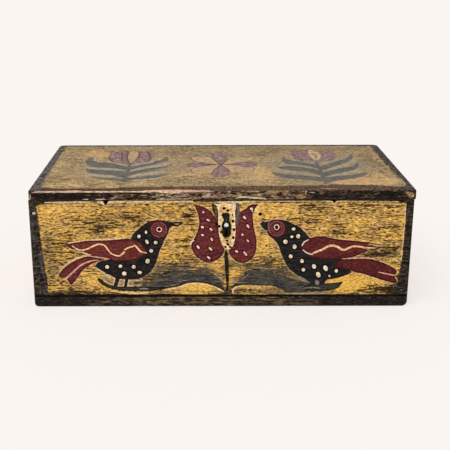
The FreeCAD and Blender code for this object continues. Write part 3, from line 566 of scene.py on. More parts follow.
def paint_right_bird(canvas):
    canvas.areas("bird", [
        [(44, 77), (46.7, 73.2), (50, 70.7), (53.3, 66.7), (56, 61.3), (58, 55.3), (62, 46.5), (66, 40),
         (70.7, 36), (75.3, 32), (80.7, 27.3), (86.5, 23.5), (95, 22.5), (100.5, 24.5), (103, 28.2),
         (110, 29.7), (116, 31.2), (122.3, 33.5), (127.5, 36.4, CORNER), (122, 41), (119, 48), (112, 54),
         (96, 64), (87, 70), (82.6, 74.8), (78.6, 79.2), (75.6, 82), (72, 84.4), (68, 86.6), (62.7, 89),
         (56.7, 90.5), (48, 90), (45.8, 88), (44.6, 83)],
        [(36.3, 86.2, CORNER), (39.3, 88.9), (41.6, 88.4), (45.6, 89.4, CORNER), (45.8, 86), (45, 82),
         (43.4, 79.8), (41, 80.6), (38.6, 83.2)],
    ])
    canvas.areas("red", [
        [(76.5, 62.8), (78.5, 67), (83, 70.5), (90, 73), (98.5, 73.3), (104.6, 72), (113, 70.3),
         (123.8, 69.3), (135.4, 68), (147, 66.4), (152.6, 65.6), (154.2, 63.2), (152, 60.6), (143, 58.6),
         (136, 56.2), (129.5, 53), (122.8, 51.2), (116, 50.5), (107, 49.7), (97, 49.7), (90, 51),
         (84, 53.5), (79, 57.5)],
        [(113.5, 49), (117.7, 49.9), (130, 50.2), (143.8, 50), (150.8, 48.2), (157.7, 45.8), (163.8, 42.8),
         (169.4, 39.2), (170.8, 36), (167.7, 32.8, CORNER), (170.9, 28.2), (170.8, 25.8), (169.2, 24.9),
         (162.3, 26.6), (154.6, 28.9), (147, 31.6), (139.2, 34.3), (131.5, 36.2), (123, 39), (116, 40.5),
         (110.8, 42.4), (111.5, 46.6)],
    ])
    paint_head(canvas, 52.9, 81.6)
    canvas.strokes("grey", [
        [(45.8, 89.4, 0.8), (44.9, 86.4, 0.9), (44.8, 83, 0.8), (45.4, 79.4, 0.8)],
        [(76, 31.6, 1.6), (81, 28.6, 2.4), (86, 25.4, 1.2)],
    ])
    canvas.strokes("split", [
        [(168, 33, 1.3), (160, 34.8, 1.2), (153, 36.4, 0.9)],
        [(117, 50.4, 0.7), (126, 50.9, 1.1), (136, 51.2, 0.9), (148, 50.4, 1.2)],
        [(150, 64.6, 0.7), (154, 63.4, 1), (157, 64.2, 0.8)],
    ])
    canvas.strokes("outline", [
        [(77.6, 64, 1.1), (79.6, 67.6, 1.3), (83.8, 70.2, 1)],
        [(78.7, 59.6, 1.1), (82.6, 56.6, 1.3), (88.3, 54.8, 1)],
    ])
    canvas.stroke("dash", [
        (88.4, 56.2, 1.4), (93, 58.2, 2.1), (97.7, 60.2, 2), (102.3, 63, 2.2), (107, 64, 2.2),
        (111.5, 63, 2.1), (115.4, 60.4, 2), (119, 59.6, 2), (123, 61.6, 1.8), (127.7, 63.2, 1.7),
        (133.8, 62.8, 1.6), (139, 61.8, 1.4), (148.5, 61.4, 0.8),
    ])
    canvas.dots("dot", [
        (69, 81, 1.8, 1.6), (67.5, 73.2, 1.4, 1.3), (73.7, 73.7, 1.9, 2.1), (61.5, 68.1, 2.1),
        (70.5, 63, 1.9, 2.3), (67, 53, 1.8, 2.1), (78.1, 48.1, 1.8, 2), (79.8, 39.1, 1.7, 1.8),
        (90, 42.5, 1.9, 2.4, 20), (94.4, 33.9, 2, 3, 25), (101.3, 40.6, 2, 3.1, 30),
        (111.9, 37.8, 1.5, 1.9), (105.4, 32.4, 1, 1.1),
    ])
    canvas.dot("grey", 93.7, 25.5, 2, 2.6, 25)
    paint_eye(canvas, 52.7, 82.9, 2.6, 3.1)


def paint_head(canvas, across, up):
    """A red disc, brushed round in rings."""
    canvas.dot("red", across, up, 9.2)
    turns = np.radians(np.arange(0, 361, 30))
    for radius, width in ((4.7, 0.8), (7.2, 1.4)):
        ring = [(across + radius * math.cos(turn), up + radius * math.sin(turn), width) for turn in turns]
        canvas.stroke("ring", ring)


def paint_eye(canvas, across, up, wide, tall):
    """A pale ring round a black pupil."""
    ring = 0.95
    canvas.dot("eye", across, up, wide, tall)
    canvas.dot("pupil", across, up, wide - ring, tall - ring)


def paint_tulip(canvas):
    canvas.areas("red", [
        [(-26.2, 105.7, CORNER), (-22.7, 105.2), (-18.5, 104.2), (-14.4, 101.8), (-10.7, 99), (-8.2, 95.8),
         (-5.4, 91.5), (-3.2, 86.5), (-3, 80), (-2.2, 72.5), (-0.3, 66.1), (3, 60.6, CORNER), (1.2, 55.2),
         (-1.9, 51.6), (-5.5, 49), (-9.2, 47.2), (-12.8, 46.6), (-16.5, 47.6), (-20.6, 50), (-24.3, 53.1),
         (-26.9, 56.8), (-28.8, 60.9), (-29, 65.1), (-27.4, 69.3), (-25, 74), (-23.2, 78.6), (-21.9, 83.9),
         (-21.5, 88), (-21.9, 93.2), (-23.2, 98.4), (-25, 102.6)],
        [(35, 106.4, CORNER), (32.7, 103.3), (30.4, 99.3), (29.5, 94.7), (30, 89.3), (30.6, 84), (31.3, 80),
         (32.7, 74), (33.7, 68), (33.6, 62.7), (32.7, 56.7), (30.3, 52), (26.7, 48.3), (22, 46.4),
         (17.3, 46.9), (12.7, 49.3), (9.3, 53.3), (7.3, 57.3), (7.6, 60.4, CORNER), (10, 63), (11.6, 68),
         (12.6, 75), (13, 83), (13.8, 90), (15.6, 95), (17.3, 98.4, CORNER), (20, 99.8), (23.3, 102),
         (27.3, 105.3)],
    ])
    canvas.area("cream", [
        (-3.4, 106), (-3.9, 102), (-3.3, 96), (-3.3, 90), (-2.9, 80), (-1.9, 75), (-0.4, 69.6), (1.8, 65),
        (4.9, 61.6), (8, 60.8), (10.6, 63.4), (11.9, 67), (12.7, 71), (13.2, 75.5), (13.4, 80.7),
        (12.9, 86), (12.7, 92), (12.4, 98.7), (12, 103.3), (10.6, 105.9), (4.7, 106.8), (0, 106.9),
    ])
    canvas.dots("dash", [
        (-17.6, 98.1, 1.1, 0.65, -15), (-12.8, 90.3, 1.8, 0.75, -25), (-18.5, 83.2, 1.4, 1.15, -20),
        (-10.2, 80.9, 1.7, 0.8, -45), (-18.5, 75.1, 1.3, 0.95, -25), (-9.5, 70.7, 1.6, 0.8, -62),
        (-22.6, 62.8, 2, 0.95, -60), (-10.7, 60.9, 2, 0.8, -45), (-12.6, 51.9, 1.9, 0.8, -42),
        (28.4, 101.4, 1.5, 1.15, -30), (29.4, 99, 0.8, 0.6, -60), (21.8, 92.8, 1.9, 1, -48),
        (25.2, 83.9, 2, 0.9, -60), (20, 75.4, 1.1, 1), (25.2, 69.2, 1.6, 0.7, -42),
        (14.5, 58.3, 1.5, 0.8, -30), (22, 56.9, 1.4, 0.7, -60), (23.7, 55.1, 1.5, 0.95, -68),
    ])
    canvas.strokes("ring", [
        [(-8.4, 51.9, 0.8), (-4, 53.2, 1.1), (-1, 55.6, 0.8)],
        [(-16, 55, 0.7), (-10, 56.4, 0.8), (-4, 58.4, 0.7)],
    ])
    canvas.strokes("outline", [
        [(-30.2, 65.2, 0.9), (-29, 68.6, 1.3), (-26.6, 69.4, 0.8)],
        [(-7, 106.8, 0.8), (-4.6, 105.4, 1.1), (-3.4, 102, 1), (-3.2, 99, 0.5)],
        [(9.6, 108, 0.7), (11.6, 107, 1.1), (12.8, 104.2, 1), (13, 100.6, 0.5)],
    ])
    canvas.strokes("smudge", [
        [(-7.2, 106, 3.6), (-6, 101, 4), (-5.2, 95, 3.4), (-4.6, 89, 2.2), (-4.2, 84, 1)],
        [(14.8, 106.6, 3), (15.4, 101, 3.8), (15.8, 96, 4), (15.2, 90, 3.2), (14.4, 84, 1.6)],
    ])
    canvas.strokes("shade", [
        [(-8.9, 106, 1.5), (-8, 101, 1.5), (-6.8, 96.4, 1.1)],
        [(-4.2, 101, 0.8), (-3.9, 96, 1.2), (-3.9, 89, 1)],
        [(13.2, 104, 0.9), (13.6, 99, 1.4), (13.6, 93, 0.9)],
        [(-40, 93.4, 0.6), (-33, 94, 1.1), (-25.6, 93.4, 0.8)],
        [(-34, 97.4, 0.6), (-30.6, 94.6, 1.1), (-27, 97.8, 0.7)], [(-33.6, 91.4, 0.8), (-30.8, 93, 1)],
        [(-38.4, 71.2, 0.8), (-35.4, 71.6, 1.3), (-32.6, 71.2, 0.8)],
        [(-32, 74.4, 0.8), (-29.8, 73.2, 1.4)], [(-39, 83.6, 0.5), (-36, 83.2, 0.8)],
    ])
    canvas.area("ink", [
        (2.2, 97.3), (4.4, 97.7), (6.6, 97), (7.7, 95.2), (7.3, 92.5), (7.2, 90.2), (8.2, 88), (9, 85.5),
        (9.2, 82), (8.8, 79), (8.9, 76), (7.8, 73.3), (5.5, 71.9), (3.6, 71.3), (2, 72.6), (1.2, 75),
        (0.5, 76.3), (-1.2, 76.9), (-1.5, 78.4), (0, 79.8), (0.5, 82), (0.2, 85.5), (0.9, 87.8),
        (1.8, 89.4), (1.7, 91.6), (0.9, 93.4), (-0.1, 95.3), (0.6, 96.9),
    ])
    canvas.dots("spot", [
        (2.2, 102, 1.5, 1.3), (5.8, 99.8, 1.3, 1.1), (-2.2, 84, 1.3), (10.8, 89.2, 1.2, 1.5),
        (11.9, 80.7, 1.2, 1.4), (11.2, 72.4, 1.2, 1.5), (5.3, 69.4, 1.3, 0.9), (6.2, 65.6, 1.7, 1, -50),
        (8.5, 62.8, 1.2, 1), (3.8, 62.8, 1.1), (10.4, 95.4, 0.5, 1.3), (-5, 86.4, 1.3, 1.5),
        (36.7, 96.2, 1.6), (43.5, 64, 0.9), (38.4, 77.4, 1, 0.5),
    ])


def paint_front_leaves(canvas):
    canvas.areas("perch", [
        [(-121.4, 29, CORNER), (-120, 30.9), (-117.8, 29.8), (-115.5, 27.6), (-112.1, 24.8), (-108.6, 23.3),
         (-103, 22), (-94.5, 21.6), (-80, 21.4), (-70, 21.4), (-60, 21.2), (-50, 22, CORNER), (-58, 19),
         (-67, 17.2), (-85, 16.8), (-96, 17.4), (-101.4, 18.1), (-106.4, 18.9), (-111.4, 20.7),
         (-115.7, 22.9), (-118.6, 25.3)],
        [(78, 20, CORNER), (86, 23.6), (94, 24), (101, 24.8), (107, 24.9), (113, 25.6),
         (119.2, 26.8, CORNER), (117.2, 23.4), (114.8, 20.2), (110, 18), (104, 16.8), (97, 16.2), (87, 17)],
    ])
    canvas.areas("leaf", [
        [(-82, 18.4, CORNER), (-78, 22.5), (-72.5, 25.5), (-67, 28.6), (-62.5, 32), (-58.6, 35),
         (-55, 37.2), (-50, 39), (-43.3, 39.6), (-30, 39.8), (-18, 38.6), (-10, 36.4), (-5, 33),
         (-1.2, 28.6), (1.4, 23), (3.4, 17.4, CORNER), (-2.6, 19.8), (-7, 21.8), (-12.3, 23.9),
         (-17.5, 25.4), (-24, 26), (-30, 25.8), (-35, 24.8), (-40, 22.8), (-44.3, 21.5), (-49.3, 20.6),
         (-54.3, 19.8), (-60, 18.2), (-70, 17.2)],
        [(9, 18.6, CORNER), (13, 24.4), (16.6, 28.4), (20, 32.4), (23, 36), (27, 38.8), (32, 39.8),
         (38, 39), (46, 37.6), (56, 34.8), (63, 32), (70, 29.6), (78, 27), (86, 24.6), (92, 22, CORNER),
         (90, 15.8), (76, 15), (64, 15.2), (59, 18), (52, 21.2), (44, 22.4), (36, 22.9), (28, 23.2),
         (20, 23.2), (14.6, 21.8), (11, 19.6)],
    ])
    canvas.strokes("slate", [
        [(-92, 19.4, 2.4), (-80, 19.4, 3), (-70, 19.8, 3.6), (-62, 21.8, 4.4), (-54, 24, 5.6),
         (-46, 26.6, 7), (-38, 29.2, 7.6), (-30, 30.8, 7.6), (-22, 30.8, 7.6), (-14, 28.8, 7.4),
         (-8, 26, 6.4), (-2, 22.2, 4.4), (3, 18.6, 2.6)],
        [(14, 23, 1.2), (20, 25.4, 3.2), (28, 26.6, 4.6), (38, 26.8, 5), (50, 26, 5), (62, 23.8, 5),
         (74, 21.4, 5), (88, 20, 4.4), (100, 19.8, 3)],
        [(26, 35.6, 2.2), (34, 35, 4), (44, 33.8, 4.4), (56, 31, 4), (68, 27.4, 3)],
    ])
    canvas.strokes("shade", [
        [(-66, 17.8, 0.8), (-56, 19.8, 1.3), (-48, 21.2, 1.6), (-42, 22.6, 1.9), (-36, 25.1, 1.7),
         (-30, 26.3, 1.6), (-22, 26.6, 1.8), (-14, 25.3, 1.8), (-8, 23.4, 1.8), (-3, 21, 1.6),
         (2.4, 18.3, 1.2)],
        [(7.6, 18.6, 1.3), (11, 21.7, 1.7), (16, 23.5, 1.8), (24, 23.9, 1.4), (34, 23.6, 1.1),
         (46, 22.9, 0.8)],
        [(22, 34.6, 0.6), (26, 38, 0.9), (31, 39.6, 1.2), (38, 39, 0.8)],
        [(-46, 17.8, 0.5), (-34, 16.8, 0.8), (-20, 16, 0.9), (-6, 16, 0.6)],
    ])
    canvas.strokes("crescent", [
        [(-56, 18, 1), (-50, 19.1, 1.4), (-43, 20.5, 1.6), (-38, 22.4, 1.5), (-33, 24.3, 1.5),
         (-28, 24.8, 1.4), (-20, 24.6, 1.4), (-12, 23, 1.4), (-6, 20.7, 1.4), (-0.6, 17.6, 1.6),
         (2, 16.4, 1)],
        [(11.6, 14.4, 1.1), (11.4, 17.6, 1.6), (13.8, 20.1, 1.6), (19, 21.8, 1.5), (27, 22.1, 1.3),
         (36, 21.8, 1.1), (46, 21.2, 0.7)],
        [(62, 14, 1), (75, 13.8, 1.5), (95, 13.9, 1.6), (107, 14.6, 0.9)],
        [(-108, 17, 0.8), (-98, 15.6, 1.6), (-85, 14.8, 2), (-72, 15, 1.4)],
    ])
    canvas.areas("dry_leaf", [
        [(-84, 23), (-82, 27), (-76, 30.5), (-70, 34), (-64, 37.5), (-60, 39), (-58, 34), (-66, 28),
         (-74, 24)],
        [(-58, 36), (-56, 40.4), (-48, 42.4), (-36, 42), (-18, 41), (-8, 39), (-1, 34), (2, 26), (1, 24),
         (-6, 32), (-16, 37), (-30, 39), (-48, 38)],
        [(30, 36), (33, 41), (42, 42.5), (52, 41), (60, 38.5), (70, 36), (74, 32), (62, 32.4), (49, 37),
         (38, 38.6)],
        [(9, 20), (9.4, 26), (14, 31), (19, 37), (25, 40.6), (24, 34), (18, 27), (12, 21)],
        [(-4, 19.6), (4, 21), (7, 20), (10, 17), (14, 13.4), (0, 13), (-6, 15)],
    ])
    canvas.stroke("stem", [
        (4.4, 58.6, 2), (4.4, 55, 3.6), (4.9, 49, 4), (5.3, 40, 3.9), (5.8, 30, 3.2), (6, 22, 2),
        (5.4, 18, 2.8),
    ])
    canvas.strokes("vein", [
        [(-56, 21.5, 0.7), (-48, 22.8, 1), (-41, 24.4, 0.8)],
        [(-42, 26.8, 0.5), (-36, 28, 0.9), (-30, 28.6, 0.5)],
        [(-80, 19.3, 0.9), (-76, 19.4, 1.5), (-72, 19.2, 0.9)],
        [(-8, 35, 0.7), (-4, 32.4, 1.1), (0.4, 29, 1), (3, 27.6, 0.7)],
        [(1.6, 57.5, 0.8), (1.8, 52, 1.1), (2.4, 47, 0.6)],
        [(12, 26, 0.6), (15, 25.4, 1.2), (20, 25.6, 0.9), (26, 26, 0.5)],
        [(18, 28.4, 0.5), (23, 31.6, 1), (27, 34.6, 0.6)],
        [(10.4, 22, 0.6), (10.8, 27, 1.1), (12.6, 31, 0.6)],
        [(80, 19.6, 0.6), (88, 20.2, 1.2), (97, 19.6, 0.6)],
    ])


def paint_front_ground(canvas):
    """The ochre panel, and where the brush left it thin or thick."""
    # Right of the left border, the panel's top stops a little short of the board's edge: the black strip left
    # there is a painted shadow of the gap under the lid.
    canvas.area("panel", [
        (-173, 106.6, CORNER), (-176.6, 104.6, CORNER), (-175.6, 92), (-174, 70), (-172.5, 50),
        (-170.5, 30), (-170, 16, CORNER), (-150, 14.5), (-120, 14), (-95, 14), (-74, 13.6), (-60, 13.8),
        (-30, 13.4), (0, 13.6), (40, 13), (80, 13.4), (120, 13), (150, 12.6), (168, 13.4, CORNER),
        (170.5, 24), (174.4, 46), (175.3, 70), (175.6, 90), (175.2, 107.2, CORNER), (120, 108), (60, 107.6),
        (0, 108.6), (-60, 108.4), (-110, 108), (-150, 107.4),
    ])
    canvas.shade("brush", [
        (-115, 84, 18, 10, 0.05), (-80, 99, 18, 9, 0.04), (-160, 45, 14, 16, 0.05), (-150, 20, 24, 7, 0.04),
        (89, 105, 14, 4, 0.08), (110, 78, 12, 3, 0.16), (164, 60, 14, 8, 0.07), (149, 54.5, 12, 4, 0.12),
        (42, 44.5, 10, 2.2, 0.15), (46, 50, 16, 2.4, 0.1), (52, 40, 18, 4, 0.06), (-45, 43, 18, 3.5, 0.1),
        (-66, 30, 9, 6, 0.12), (150, 18, 16, 3, 0.1), (168, 16, 5, 6, 0.2), (122, 37, 6, 2, 0.12),
        (-31, 95, 4, 3, 0.04), (-38, 70, 5, 2, 0.12), (-42, 108, 20, 2, 0.06), (20, 17, 30, 3, 0.05),
        (-135, 15.5, 22, 2, 0.12), (-158, 101, 18, 6, -0.07), (55, 99, 18, 7, -0.1), (-43, 78, 8, 8, -0.08),
        (42, 65, 9, 8, -0.1), (-22, 20, 18, 5, -0.24), (138, 24, 18, 6, -0.06), (118, 25, 15, 8, -0.26),
        (150, 18, 18, 4, 0.1), (-126, 28, 6, 5, -0.16), (14, 35, 4, 7, -0.14), (33, 100, 4, 6, -0.2),
        (0, 60, 60, 30, -0.02),
    ])
    canvas.shade("warm", [
        (-157, 101, 20, 7, 0.7), (55, 99, 20, 8, 0.6), (138, 22, 30, 8, 0.7), (120, 26, 16, 9, 1.9),
        (-126, 28, 7, 6, 0.6), (-22, 20, 18, 6, 1.1), (24, 18, 16, 3, 0.1), (14, 36, 5, 8, 1.2),
        (-26, 88, 5, 8, 0.8), (-45, 46, 30, 10, -0.4), (150, 95, 20, 8, -0.2), (45, 65, 8, 8, 0.4),
        (-150, 22, 24, 10, -0.3), (-158, 26, 6, 5, 0.8),
    ])
    canvas.shade("haze", [
        (-162, 46, 14, 14, 0.5), (-165, 32, 9, 8, 0.5), (-140, 16, 30, 4, 0.7), (-62, 34, 12, 9, 1),
        (-46, 43, 22, 4, 0.8), (166, 58, 10, 10, 0.5), (150, 55, 16, 6, 0.7), (32, 43, 20, 6, 0.9),
        (68, 38, 10, 10, 1.3), (168, 20, 8, 10, 1), (96, 104, 16, 4, 0.6), (-34, 94, 6, 5, 0.4),
        (-115, 86, 24, 9, 0.4), (-168, 68, 8, 16, 0.6), (8, 44, 8, 6, 0.7), (2, 30, 5, 8, 0.6),
        (30, 17, 24, 3, 0.8), (-20, 46, 18, 3, 0.4), (41, 79, 6, 4, 0.9), (112, 78, 14, 4, 0.4),
        (85, 14.5, 30, 3, 1.2), (-86, 25, 8, 5, 0.6), (-135, 60, 14, 4, 0.4), (-56, 16, 12, 2.6, 0.9),
        (74, 30, 9, 5, 1.5), (16, 18, 5, 4, 0.5), (52, 18, 8, 4, 0.7),
    ])
    canvas.strokes("pale", [
        [(-168, 108.2, 1.2), (-140, 108.4, 1.9), (-116, 108.7, 2.1), (-113.8, 107.6, 1.9),
         (-111.6, 105.4, 1)],
        [(-109.4, 105.4, 1), (-106.6, 108.4, 2.3), (-90, 108.8, 2.1), (-60, 108.9, 1.8), (-28, 109, 1.6)],
        [(20, 109, 0.8), (60, 108.9, 0.9), (90, 108.9, 0.7), (103.8, 108.6, 1.2), (106.2, 105.8, 0.7)],
        [(107.4, 105.8, 0.7), (109.8, 108.6, 1.2), (130, 108.8, 0.8), (168, 108.4, 0.7)],
        [(174.6, 105, 1), (174.8, 80, 0.9), (174.3, 47, 0.9)],
        [(-10, 108.2, 0.7), (2, 108.4, 1.3), (16, 108.4, 1.6), (27, 108, 0.8)],
        [(36, 105.8, 0.6), (33.6, 102, 1.8), (31.4, 97, 1)],
    ])
    canvas.areas("tan", [
        [(-117, 30.6), (-114.8, 34.2), (-109, 31.4), (-104.4, 29), (-106, 24.4), (-109, 24.6), (-113, 26.6)],
        [(-99.6, 29), (-94.6, 29), (-96, 22.6), (-101.2, 22.8)],
        [(-90.6, 28.4), (-84, 28.2), (-76.4, 27), (-80, 23.4), (-91.6, 22.6)],
    ])


def paint_front(across, up):
    canvas = Canvas(across, up)
    paint_front_ground(canvas)
    paint_front_leaves(canvas)
    paint_left_bird(canvas)
    paint_right_bird(canvas)
    paint_tulip(canvas)
    return canvas


# What is painted on the lid: across is x and up is y


def paint_left_flower(canvas):
    canvas.strokes("leaf", [
        [(-94.7, 12, 3.2), (-94.9, -15, 3.8), (-94.6, -40, 4.4), (-94.7, -60, 5.4)],
        [(-140.4, 32, 2.4), (-141.4, 26, 5), (-139.6, 19, 7)],
    ])
    canvas.areas("leaf", [
        [(-138, 33, CORNER), (-135.3, 21.3), (-128, 13.3), (-116, 10.7), (-108, 4), (-97, -5.3), (-96, -17),
         (-105.3, -13.3), (-116, -9.3), (-129.3, -6.7), (-138.7, 0), (-142.7, 10.7), (-144, 21.3)],
        [(-139.5, -10, CORNER), (-132, -15.3), (-118.7, -18.7), (-105.3, -21.3), (-96, -27), (-95, -50),
         (-101.3, -45.3), (-109.3, -38.7), (-118.7, -35.3), (-128, -32), (-136.7, -24)],
        [(-129.8, -42.4, CORNER), (-120, -46.7), (-108, -48.7), (-96, -51.5), (-95, -59.5), (-108, -56),
         (-118.7, -53.3), (-126.7, -48)],
        [(-56.7, 38, CORNER), (-59.3, 32), (-62.7, 24), (-69.3, 17.3), (-73.3, 9.3), (-82.7, 2.7),
         (-93, -6), (-93, -17), (-81.3, -5.3), (-70.7, 2.7), (-61.3, 13.3), (-56, 20), (-54.7, 29.3)],
        [(-52, 7.4, CORNER), (-53.6, 0), (-62.7, -7.3), (-74.7, -12), (-84, -18.7), (-94, -28), (-94, -41),
         (-81.3, -29.3), (-70.7, -21.3), (-59, -10.7), (-51, 1.7)],
        [(-53, -35, CORNER), (-60, -36.6), (-74.7, -41.3), (-85.3, -46.7), (-94, -50), (-94, -59.5),
         (-81.3, -53.3), (-68, -49.3), (-60, -42.7)],
    ])
    canvas.strokes("glow", [
        [(-140, -8, 3), (-130, -12, 6), (-118, -14.5, 6), (-106, -17.5, 5), (-99, -25, 3)],
        [(-134, -34, 4), (-122, -39, 6), (-110, -43, 6), (-100, -48, 4)],
        [(-118, 16, 5), (-108, 8, 6), (-100, -2, 4)], [(-142, 30, 2), (-138, 36, 3), (-133, 27, 2)],
        [(-92, -2, 4), (-84, 7, 6), (-74, 13, 6), (-68, 20, 4)],
        [(-93, -23, 4), (-84, -14, 6), (-72, -6, 6), (-60, 2, 6), (-54, 12, 4)],
        [(-92, -46, 4), (-84, -37, 6), (-70, -32, 7), (-58, -26, 6)],
        [(-88, -58, 3), (-72, -54, 5), (-60, -48, 3)],
    ])
    canvas.areas("purple", [
        [(-122, 61, CORNER), (-116, 57), (-110, 60), (-103.4, 64, CORNER), (-101.8, 50), (-101, 36),
         (-98.5, 20), (-95, 8.5, CORNER), (-106, 9), (-114, 15), (-120, 28), (-120.4, 45)],
        [(-74, 66, CORNER), (-80, 61), (-86.6, 62.5, CORNER), (-87.5, 46), (-89, 30), (-94, 9, CORNER),
         (-84, 10.5), (-76, 18), (-71.8, 34), (-71.6, 52)],
    ])
    canvas.area("flower", [
        (-94.7, 64), (-99.6, 58), (-101, 46), (-101, 30), (-99.4, 17), (-94.9, 7.5, CORNER), (-90.2, 16),
        (-88, 30), (-88.4, 46), (-90.4, 58),
    ])
    canvas.strokes("ink", [
        [(-102.4, 64, 2.2), (-101.2, 52, 1.8), (-100.6, 36, 1.6), (-99, 22, 1.6), (-95.4, 9, 1.4)],
        [(-119, 62, 2), (-115, 57.4, 3), (-112, 52, 1.4)],
        [(-109, 58, 1.2), (-107, 44, 2.2), (-104.6, 20, 1.4)],
        [(-120.6, 44, 0.8), (-120, 30, 1.6), (-115.6, 17, 1.2)],
        [(-88, 60, 1.2), (-88.4, 40, 1.6), (-91, 20, 1.2)],
        [(-80, 62, 1.2), (-77.6, 50, 2), (-75.6, 36, 1.8), (-77, 18, 1)],
    ])


def paint_right_flower(canvas):
    canvas.stroke("leaf", [(103.2, 16, 3.2), (102.8, -10, 3.4), (102, -40, 3.6), (101.3, -68, 5)])
    canvas.areas("leaf", [
        [(70.7, 39, CORNER), (72.7, 24), (80.7, 17.3), (91.3, 10.7), (101, 1.5), (101, -13), (91.3, -4),
         (83.3, 1.3), (72.7, 5.3), (67.9, 13.3), (68.2, 26.7)],
        [(58.8, -8.8, CORNER), (67.3, -4.6), (78, -5.3), (88.7, -9.3), (101, -20), (100.5, -39.7),
         (88.7, -26.7), (78, -22.7), (66.3, -17.3)],
        [(52, -28.6, CORNER), (60.7, -32.7), (72.7, -37.3), (86, -41.3), (101, -49), (101, -62.5),
         (78, -56), (64.7, -50.7), (55.3, -41.7)],
        [(146.2, 47.4, CORNER), (142.2, 37.3), (138, 28), (128.7, 18.7), (120.7, 9.3), (111.3, 0),
         (103.5, -10), (103.5, -22), (115.3, -10.7), (126, 0), (135.3, 10.7), (142, 21.3), (145.7, 32)],
        [(147.6, 10, CORNER), (142.9, 3.4), (136.7, -6.7), (124.7, -13.3), (114, -21.3), (103, -32),
         (103, -45), (116.7, -34.7), (128.7, -26.7), (139.3, -17.3), (145.6, -5.3)],
        [(150.6, -27.4, CORNER), (142, -33.3), (131.3, -38.7), (118, -42.7), (103, -50.5), (103, -67.5),
         (112.7, -61.3), (126, -54.7), (138, -48), (146, -40)],
    ])
    canvas.strokes("glow", [
        [(66, 2, 4), (78, -3, 6), (90, -8, 6), (100, -22, 4)],
        [(60, -20, 5), (72, -28, 7), (86, -33, 6), (99, -44, 4)], [(80, 18, 5), (92, 12, 5), (100, 4, 4)],
        [(106, 4, 4), (114, 12, 5), (124, 22, 6)],
        [(104, -26, 4), (114, -17, 6), (126, -6, 7), (138, 8, 6), (146, 22, 4)],
        [(104, -48, 3), (116, -40, 5), (130, -30, 6), (142, -22, 5)],
    ])
    canvas.areas("purple", [
        [(81.5, 66, CORNER), (87, 63.5), (93, 63), (98, 66, CORNER), (99.4, 52), (99.4, 36),
         (103, 15.5, CORNER), (92, 15), (85, 22), (81.6, 34), (81.2, 52)],
        [(128.6, 65.5, CORNER), (121, 62), (113, 64, CORNER), (112.5, 48), (110.5, 32), (104, 16, CORNER),
         (116, 17), (124, 24), (128, 37), (128.4, 52)],
    ])
    canvas.area("flower", [
        (103.3, 66), (100.4, 54), (100, 38), (101, 26), (103.4, 16, CORNER), (108.4, 26), (111.2, 40),
        (110, 54),
    ])
    canvas.stroke("ink", [(104.4, 52, 0.6), (106, 36, 1.4), (104.4, 24, 0.6)])


def paint_rosette(canvas):
    """Eight petals round a point, purple along the lid and across it, ochre between them."""
    canvas.areas("flower", [
        [(0.8, 2.9, CORNER), (-3, 12), (-6, 24), (-13, 34.5), (-31.5, 37, CORNER), (-29, 23), (-22, 13),
         (-9, 7)],
        [(0.8, 2.9, CORNER), (5, 11), (9, 22), (15, 30), (26, 31.5), (40, 33, CORNER), (33, 20), (24, 11),
         (12, 7)],
        [(0.8, 2.9, CORNER), (-9, 0), (-22, -6), (-30, -16), (-26, -31), (-13, -33), (-5, -21), (-2, -8)],
        [(0.8, 2.9, CORNER), (12, 0), (26, -4), (35, -12), (32, -27), (18, -31), (8, -20), (3.4, -8)],
    ])
    canvas.areas("purple", [
        [(0.8, 2.9, CORNER), (-2.6, 16), (-7, 30), (-8, 44), (-0.5, 60, CORNER), (8.4, 45), (7.6, 31),
         (3.8, 16)],
        [(0.8, 2.9, CORNER), (-2.8, -9), (-7.4, -22), (-8.6, -35), (0, -46), (9.8, -35), (8.4, -22),
         (4, -9)],
        [(-8, 5, CORNER), (-15, 11), (-24, 14.5), (-32, 10), (-35.5, 4, CORNER), (-31, -5), (-23, -8),
         (-15, -3)],
        [(10, 4, CORNER), (18, 10), (28, 14.5), (36, 12), (40, 4, CORNER), (35, -5), (26, -7.5), (17, -2)],
    ])
    canvas.strokes("ink", [
        [(-36, 5.4, 1.6), (40, 3.6, 1.2)], [(0.9, 3, 1.6), (-7.2, 28, 1.2)], [(0.9, 3, 1.6), (9, 28, 1.2)],
        [(0.9, 3, 1.6), (-7.6, -22, 1.2)], [(0.9, 3, 1.6), (10, -22, 1.2)],
        [(-17, -1.6, 3.4), (-11, 2.4, 3.6), (-4, 3.6, 2.4)], [(6, 3.4, 1.8), (11, 4, 3.2), (15, 3.4, 2)],
    ])


